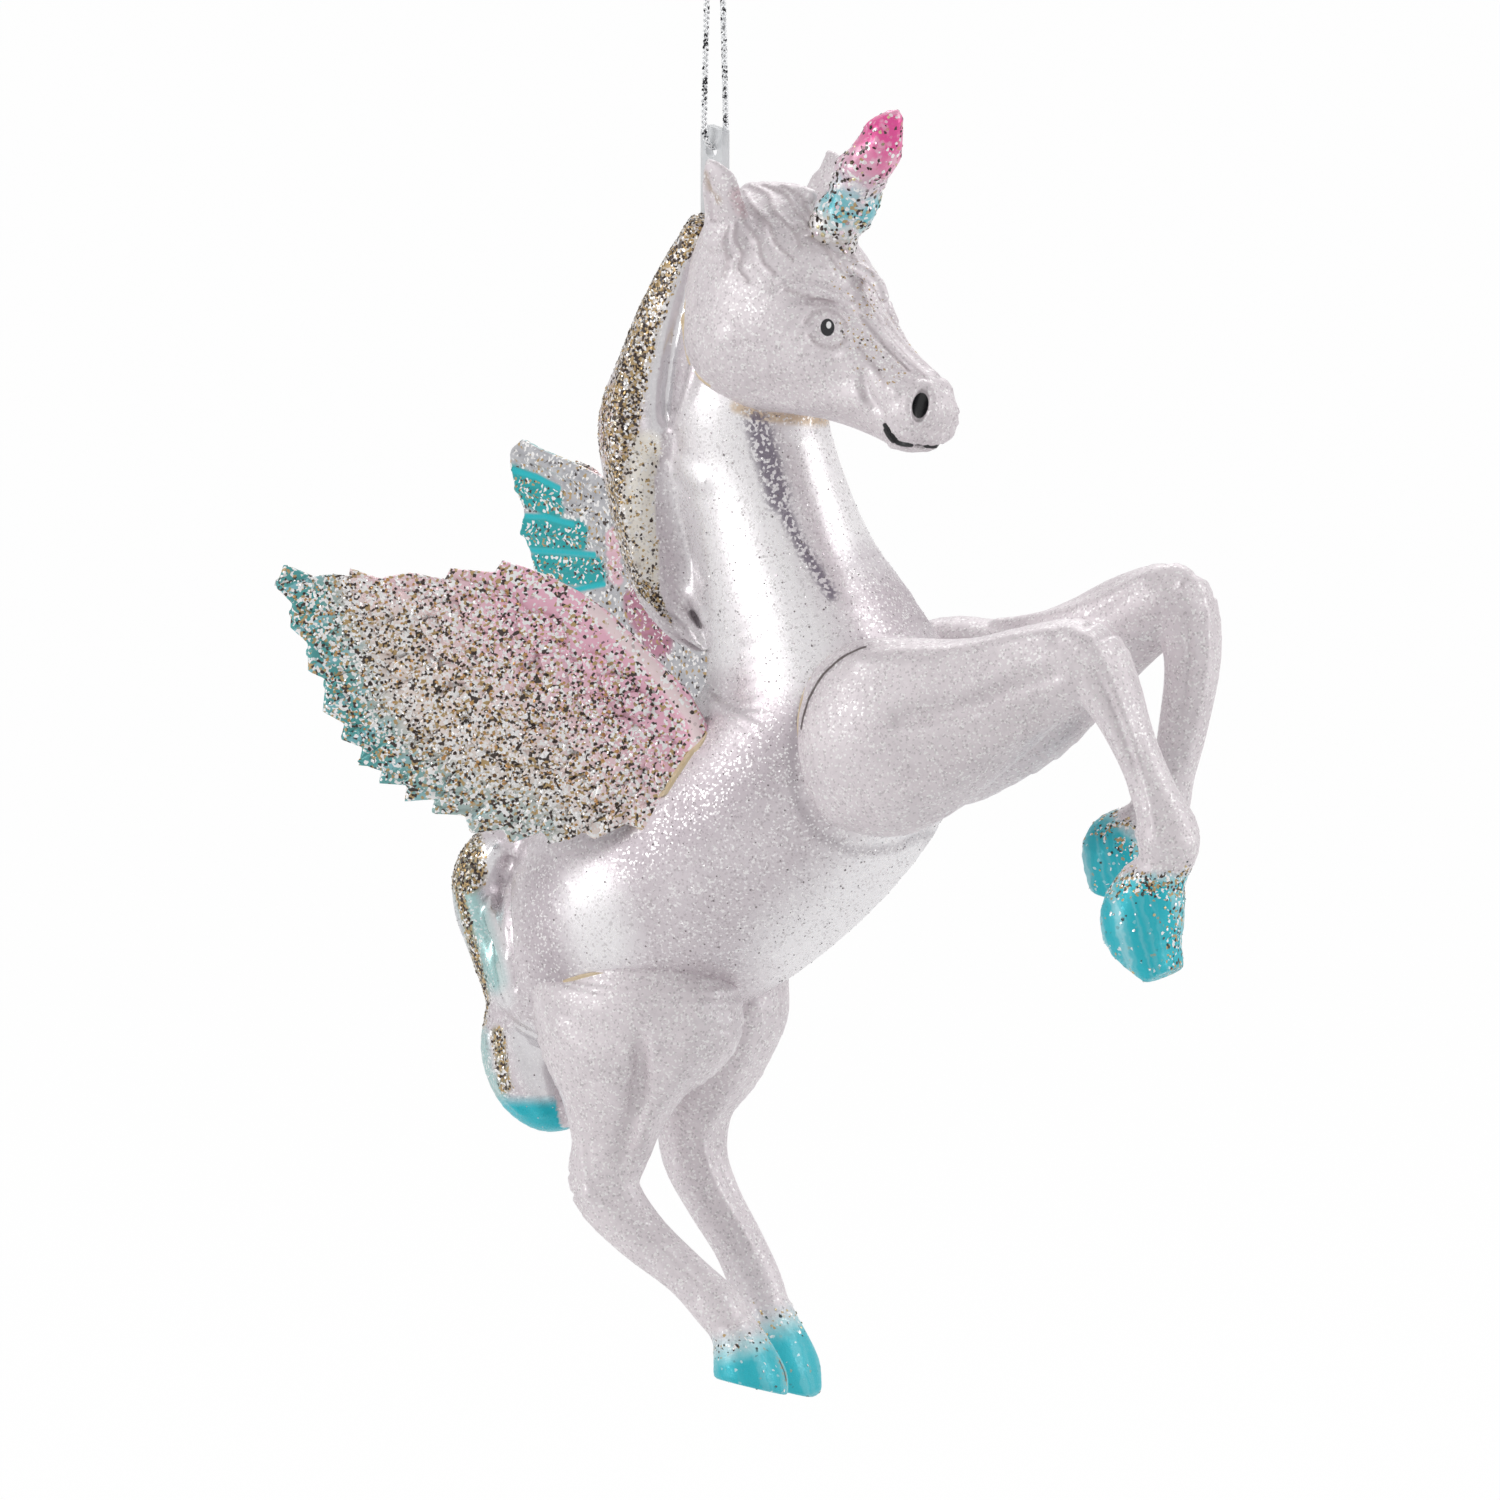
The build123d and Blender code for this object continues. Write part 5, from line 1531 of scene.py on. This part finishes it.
def scattered(thing, count, keep, seed, size_mm):
    """Points, turns and sizes for flakes spread by area over a mesh and thinned by a mask."""
    luck = np.random.default_rng(seed)
    where = points_of(thing, np.float32)
    thing.data.calc_loop_triangles()
    corners = np.empty(len(thing.data.loop_triangles) * 3, np.int32)
    thing.data.loop_triangles.foreach_get("vertices", corners)
    a, b, c = (where[corners.reshape(-1, 3)[:, k]] for k in range(3))
    normal = np.cross(b - a, c - a)
    area = np.linalg.norm(normal, axis=1)
    chosen = luck.choice(len(area), count, p=area / area.sum())
    u, v = luck.random(count), luck.random(count)
    flip = u + v > 1
    u[flip], v[flip] = 1 - u[flip], 1 - v[flip]
    points = a[chosen] + u[:, None] * (b - a)[chosen] + v[:, None] * (c - a)[chosen]
    out = normal[chosen] / area[chosen][:, None]
    stays = luck.random(count) < keep(points)
    points, out = points[stays], out[stays]
    out = out + luck.normal(0, FLAKE_TILT, out.shape)
    out /= np.linalg.norm(out, axis=1)[:, None]
    along = np.cross(out, luck.normal(0, 1, out.shape))
    turns = np.array([turn_of(way, face) for way, face in zip(along, out)]).reshape(-1, 3)
    size = size_mm * luck.uniform(0.7, 1.25, len(points))
    return points + out * FLAKE_LIFT_MM, turns, np.repeat(size[:, None], 3, axis=1)


def flakes_on(name, things, count, keep, seed, size_mm, paint):
    """Foil flakes over one or more meshes, as one piece."""
    groups = [scattered(thing, count, keep, seed + index, size_mm) for index, thing in enumerate(things)]
    points, turns, sizes = (np.vstack(part) for part in zip(*groups))
    return placed_copies(name, flake_tree, points, turns, sizes, flake, paint)


def foil(finish, tints, edges=None):
    """Foil in a few colours, chosen by each flake's own tone, which runs from 0 to 1."""
    edges = edges or [index / len(tints) for index in range(1, len(tints))]
    tone, colour = finish.stored("tone"), tints[0]
    for edge, tint in zip(edges, tints[1:]):
        colour = finish.mix(tone.step(edge - TONE_BLEND, edge + TONE_BLEND), colour, tint)
    return finish.use(Base_Color=colour, Roughness=0.25, Metallic=0.6).material


def on_feathers(wing):
    """Thick in the middle of the wing, thin on the pink and on the smooth leading edge."""
    def keep(points):
        flat = np.column_stack([(points - wing.root) @ way / WING_MM for way in (wing.back, wing.up)])
        from_ridge, from_trailing = (from_line(flat, line) * WING_MM for line in (ridge_line, trailing_line))
        inside = 0.4 + 0.32 * np.clip((from_ridge - 4) / 8, 0, 1) - 0.2 * fade(from_trailing, 4, 8)
        return np.where(from_ridge < 1.4, 0.05, inside)
    return keep


def on_gold(points):
    """As thick as the gold of the mane and tail, read from the same lines of the picture."""
    places = near_side(points)
    mane, tail = glass_parts(points)[:2]
    cream = banded(places, "cream")
    on_mane = (banded(places, "gold", "rose") * (1 - 0.8 * cream)).clip(cream * 0.1)
    return on_mane * mane + banded(places, "olive") * tail * 0.6


def on_body(points):
    """Thin, and thicker towards the chest."""
    return 0.3 + 0.7 * (points[:, 0] > 2)


def on_horn(points):
    """Thickest at the horn's foot."""
    return 0.7 - 0.5 * np.clip((points - horn_root) @ horn_axis / HORN_MM, 0, 1)


def on_hooves(points):
    """Thick in the band above a foreleg's hoof, thin below it and on the hind legs."""
    near = np.zeros(len(points))
    for name, (band, sole) in hoof_places.items():
        share = 1.0 if "fore" in name else 0.25
        down = (points - band) @ ((sole - band) / np.linalg.norm(sole - band))
        close = np.linalg.norm(points - (band + sole) / 2, axis=1) < 9
        in_band = np.clip(1 - np.abs(down - 1.5) / 4.5, 0, 1)
        near = np.maximum(near, share * close * (in_band * 0.9 + (down > 1) * 0.14))
    return near


wing_flakes = {}
for name, wing in wings.items():
    finish, colour = wing_colours(f"{name}_foil", wing)[:2]
    paint = foil(finish, [WHITE, colour, (0.5, 0.27, 0.1), UMBER], (0.49, 0.63, 0.81))
    wing_flakes[name] = flakes_on(f"{name}_flakes", [wing_feathers[name]], 19000, on_feathers(wing), 40, 0.2,
                                  paint)
# what they lie on, how many are drawn, where they stay, the seed, their size in mm, the foil and its colours
flake_kinds = {
    "gold_flakes": ([glass_body], 60000, on_gold, 50, 0.19, "gold_foil",
                    [WHITE, GOLD, UMBER, (0.66, 0.58, 0.46), UMBER]),
    "body_flakes": ([glass_body], 9000, on_body, 54, 0.1, "silver_foil",
                    [WHITE, (0.62, 0.56, 0.59), (0.22, 0.19, 0.2)]),
    "horn_flakes": ([horn_piece], 900, on_horn, 60, 0.24, "horn_foil",
                    [WHITE, (0.8, 0.66, 0.72), UMBER, (0.64, 0.56, 0.34), UMBER]),
    "hoof_flakes": (list(leg_pieces.values()), 3200, on_hooves, 62, 0.19, "hoof_foil",
                    [WHITE, (0.6, 0.48, 0.26), (0.05, 0.08, 0.08)]),
}
loose_flakes = {name: flakes_on(name, things, count, keep, seed, size_mm, foil(Finish(foil_name), tints))
                for name, (things, count, keep, seed, size_mm, foil_name, tints) in flake_kinds.items()}

# %% [markdown]
# ## The cord
# The cord is a thin metallic braid. Its middle line is one smooth spline through the route's points, which
# are the CAD's. Six fine strands wind round that line, three each way, which gives the dotted look.

# %% Cord
SWING_Z = -24.65
STRANDS, AROUND = 6, 6
STRAND_MM, GAP_MM, PITCH_MM = 0.14, 0.14, 2.0
# how far across and how high the middle line passes: down one side, round in the tab and up the other
half_route = [(1.3, 0.0), (1.93, -18.0), (2.1, SWING_Z + 1.6), (0.85, SWING_Z)]
cord_route = [(-across, z) for across, z in half_route] + half_route[::-1]


def smooth_line(points):
    """Points read from one open spline that has the given points as its control points, in mm."""
    data = bpy.data.curves.new("line", "CURVE")
    data.dimensions = "3D"
    data.resolution_u = 24
    spline = data.splines.new("NURBS")
    spline.points.add(len(points) - 1)
    for knot, point in zip(spline.points, points):
        knot.co = (*(np.array(point) * MM), 1)
    spline.order_u = 3
    spline.use_endpoint_u = True
    holder = linked("line", data)
    mesh = bpy.data.meshes.new_from_object(holder.evaluated_get(bpy.context.evaluated_depsgraph_get()))
    read = np.array([tuple(vert.co) for vert in mesh.vertices]) / MM
    bpy.data.objects.remove(holder)
    return read


def even_line(points, gap):
    """The same line with points at even gaps."""
    steps = np.linalg.norm(np.diff(points, axis=0), axis=1)
    run = np.concatenate([[0], np.cumsum(steps)])
    count = int(run[-1] / gap) + 1
    return np.column_stack([np.interp(np.linspace(0, run[-1], count), run, points[:, k]) for k in range(3)])


def braid_shape(middle_line):
    """Points and faces of fine strands wound both ways round a line, each a closed tube."""
    line = even_line(middle_line, GAP_MM)
    tangent = np.gradient(line, axis=0)
    tangent /= np.linalg.norm(tangent, axis=1)[:, None]
    first = np.cross(tangent[0], [0.3, 0.9, 0.2])
    frames = [first / np.linalg.norm(first)]
    for way in tangent[1:]:
        side_way = frames[-1] - way * (frames[-1] @ way)
        frames.append(side_way / np.linalg.norm(side_way))
    frames = np.array(frames)
    other = np.cross(tangent, frames)
    run = np.arange(len(line)) * GAP_MM
    points, faces = [], []
    for strand in range(STRANDS):
        hand = 1 if strand < STRANDS / 2 else -1
        angle = hand * 2 * np.pi * run / PITCH_MM + 2 * np.pi * strand / 3 + (0.5 if hand < 0 else 0)
        radius = 0.25 + 0.03 * np.cos(3 * angle * hand)
        centre = line + radius[:, None] * (np.cos(angle)[:, None] * frames + np.sin(angle)[:, None] * other)
        start = len(points)
        for k in range(len(line)):
            for step in range(AROUND):
                turn = 2 * math.pi * step / AROUND
                spoke = math.cos(turn) * frames[k] + math.sin(turn) * other[k]
                points.append(centre[k] + STRAND_MM * spoke)
        faces += tube_faces(len(line), AROUND, start)
        end = start + (len(line) - 1) * AROUND
        caps = ((start, (0, 5, 4, 3)), (start, (0, 3, 2, 1)), (end, (0, 1, 2, 3)), (end, (0, 3, 4, 5)))
        faces += [tuple(ring + corner for corner in corners) for ring, corners in caps]
    return np.array(points), np.array(faces)


def braid(name, lines):
    """Braid along one or more lines, as one piece."""
    points, faces, count = [], [], 0
    for line in lines:
        more_points, more_faces = braid_shape(line)
        points.append(more_points)
        faces.append(more_faces + count)
        count += len(more_points)
    return new_object(name, np.vstack(points) * MM, np.vstack(faces))


cord_line = smooth_line([HEAD_LEFT * across + np.array([0, 0, z]) for across, z in cord_route])
hanging_cord = braid("hanging_cord_braid", [cord_line])
cord_length = np.linalg.norm(np.diff(cord_line, axis=0), axis=1).sum()
print("cord line length mm", round(cord_length, 2))
# a trefoil, its two cut ends and the short runs that lead down to the cord
KNOT_Z, KNOT_MM, END_MM, END_LEAN = 1.4, 0.42, 5.85, math.radians(22)
round_knot = np.linspace(0, 2 * math.pi, 73)
knot_lines = [np.column_stack([
    (np.sin(round_knot) + 2 * np.sin(2 * round_knot)) * KNOT_MM,
    (np.cos(round_knot) - 2 * np.cos(2 * round_knot)) * KNOT_MM,
    -np.sin(3 * round_knot) * 0.75 + KNOT_Z,
])]
for hand in (-1, 1):
    direction = HEAD_LEFT * math.sin(END_LEAN * hand) + np.array([0, 0, math.cos(END_LEAN)])
    knot_lines.append(np.array([[0, 0, KNOT_Z]]) + np.linspace(0, END_MM, 20)[:, None] * direction)
for x in (-half_route[0][0], half_route[0][0]):
    knot_lines.append(np.array([HEAD_LEFT * x, HEAD_LEFT * x * 0.7 + np.array([0, 0, 0.9])]))
cord_knot = braid("cord_knot_braid", knot_lines)

finish = Finish("metallic_braid")
fleck = finish.channel(finish.cells(0.35))
colour = finish.mix(fleck.step(0.78, 0.84), (0.86, 0.87, 0.88), (0.03, 0.03, 0.035))
finish.use(Base_Color=colour, Roughness=(fleck * 0.2 + 0.28).held(), Metallic=0.6).bumped(fleck, 0.03, 0.4)
hanging_cord.data.materials.append(finish.material)
cord_knot.data.materials.append(finish.material)

# %% [markdown]
# ## The tab and the glue
# The tab and the glue beds keep the CAD's shapes. Each gets a finish with a soft haze in its colour and its
# roughness: the tab is clear, the glue is amber.

# %% The tab and the glue
def hazy(name, lump_mm, tint, other_tint, roughness, **others):
    """A glossy finish with a soft haze in it."""
    finish = Finish(name)
    haze = finish.noise(lump_mm)
    colour = finish.mix(haze, tint, other_tint)
    return finish.use(Base_Color=colour, Roughness=(haze * 0.2 + roughness).held(), **others).material


clear = hazy("clear_tab", 1.2, (0.8, 0.81, 0.83), (0.66, 0.68, 0.7), 0.15, Alpha=0.62)
amber = hazy("amber_glue", 1.5, (0.62, 0.46, 0.24), (0.74, 0.62, 0.46), 0.2, Coat_Weight=0.5)
repainted = {name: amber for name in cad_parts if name.endswith("_glue")} | {"hanging_tab": clear}
for name, paint in repainted.items():
    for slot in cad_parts[name].material_slots:
        slot.link = "OBJECT"
        slot.material = paint
print("CAD nodes with a finish of their own", len(repainted))

# %% [markdown]
# ## Riding and replacing
# Every piece moves with a body of the CAD model, and the CAD solids that the pieces stand for are hidden.

# %% Ride
bpy.data.objects.remove(feather)
bpy.data.objects.remove(flake)
figurine_pieces = {
    "glass_body": ([glass_body], "pearl_glass"), "head": ([head_piece], "pearl_resin"),
    "horn": ([horn_piece], "horn_glitter"),
    **{name: ([piece], "pearl_resin") for name, piece in leg_pieces.items()},
    **{name: ([wing_plates[name], wing_feathers[name]], "wing_glitter") for name in wing_plates},
}
for node, (pieces, slot_name) in figurine_pieces.items():
    for piece in pieces:
        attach(piece, "figurine")
    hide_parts(node)
flake_slots = {"gold_flakes": "pearl_glass", "body_flakes": "pearl_glass", "horn_flakes": "horn_glitter",
               "hoof_flakes": "pearl_resin"}
for piece, slot_name in [*((loose_flakes[name], slot_name) for name, slot_name in flake_slots.items()),
                         *((piece, "wing_glitter") for piece in wing_flakes.values())]:
    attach(piece, "figurine")
for piece, node in ((hanging_cord, "hanging_cord"), (cord_knot, "cord_knot")):
    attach(piece, "hanger")
    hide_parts(node)
print("nodes replaced", len(figurine_pieces) + 2)

# %% [markdown]
# ## Floor and light
# Soft lamps stand round the ornament at a plain level. What the camera and shiny paint see behind it is
# white by the colour of the floor and the world, and not by more light.

# %% Floor and light
FLOOR_M, FLOOR_Z = 14, -0.27
floor_data = bpy.data.meshes.new("floor")
floor_data.from_pydata([(x * FLOOR_M, y * FLOOR_M, FLOOR_Z) for x, y in ((-1, -1), (1, -1), (1, 1), (-1, 1))],
                       [], [(0, 1, 2, 3)])
floor = linked("floor", floor_data)


def white_when_seen(tree, kind, lit, out, seen_share, shiny_share=0.75):
    """Mixes plain white into a surface or sky, for the camera, clear plastic and shiny surfaces."""
    node = Nodes(tree).node
    rays = node("ShaderNodeLightPath", {}, {}, None).outputs
    most = rays["Is Camera Ray"]
    for label, share in (("Is Transmission Ray", seen_share), ("Is Glossy Ray", shiny_share)):
        part = node("ShaderNodeMath", {"operation": "MULTIPLY"}, [rays[label], share])
        most = node("ShaderNodeMath", {"operation": "MAXIMUM"}, [most, part])
    held = node("ShaderNodeMath", {"operation": "MINIMUM"}, [most, seen_share])
    white = node(kind, {}, [(1, 1, 1)])
    tree.links.new(node("ShaderNodeMixShader", {}, [held, lit, white]), out.inputs["Surface"])


paint = Finish("pale_floor").use(Base_Color=(0.9, 0.9, 0.9), Roughness=0.9)
white_when_seen(paint.tree, "ShaderNodeEmission", paint.shader.outputs[0],
                paint.tree.nodes["Material Output"], 0.985)
floor.data.materials.append(paint.material)
world = bpy.context.scene.world or bpy.data.worlds.new("world")
bpy.context.scene.world = world
world.use_nodes = True
sky = world.node_tree.nodes["Background"]
sky.inputs[0].default_value = (1, 1, 1, 1)
sky.inputs[1].default_value = 0.34
white_when_seen(world.node_tree, "ShaderNodeBackground", sky.outputs[0],
                world.node_tree.nodes["World Output"], 1)

# how far right, up and towards the camera a lamp stands from the middle, its width and height, all in
# metres, and its power in watts
lamps = {
    "low_key": (-1.05, -0.62, 0.62, 0.45, 0.4, 4.2), "key": (-1.1, 0.36, 0.55, 0.6, 0.9, 6.5),
    "fill": (1.0, 0.5, 0.25, 0.6, 1.2, 5.5), "rim": (0.1, 1.0, -0.6, 0.9, 0.9, 6.0),
}
aim = middle * MM
for name, (right, high, toward, wide, tall, watts) in lamps.items():
    data = bpy.data.lights.new(name, "AREA")
    data.shape, data.size, data.size_y, data.energy = "RECTANGLE", wide, tall, watts
    lamp = linked(name, data)
    lamp.location = Vector(aim + RIGHT * right + UP * high - INTO * toward)
    lamp.rotation_euler = (Vector(aim) - lamp.location).to_track_quat("-Z", "Y").to_euler()
print("lamps", len(lamps))

# %% [markdown]
# ## The end

# %% The end
print("the scene is built")
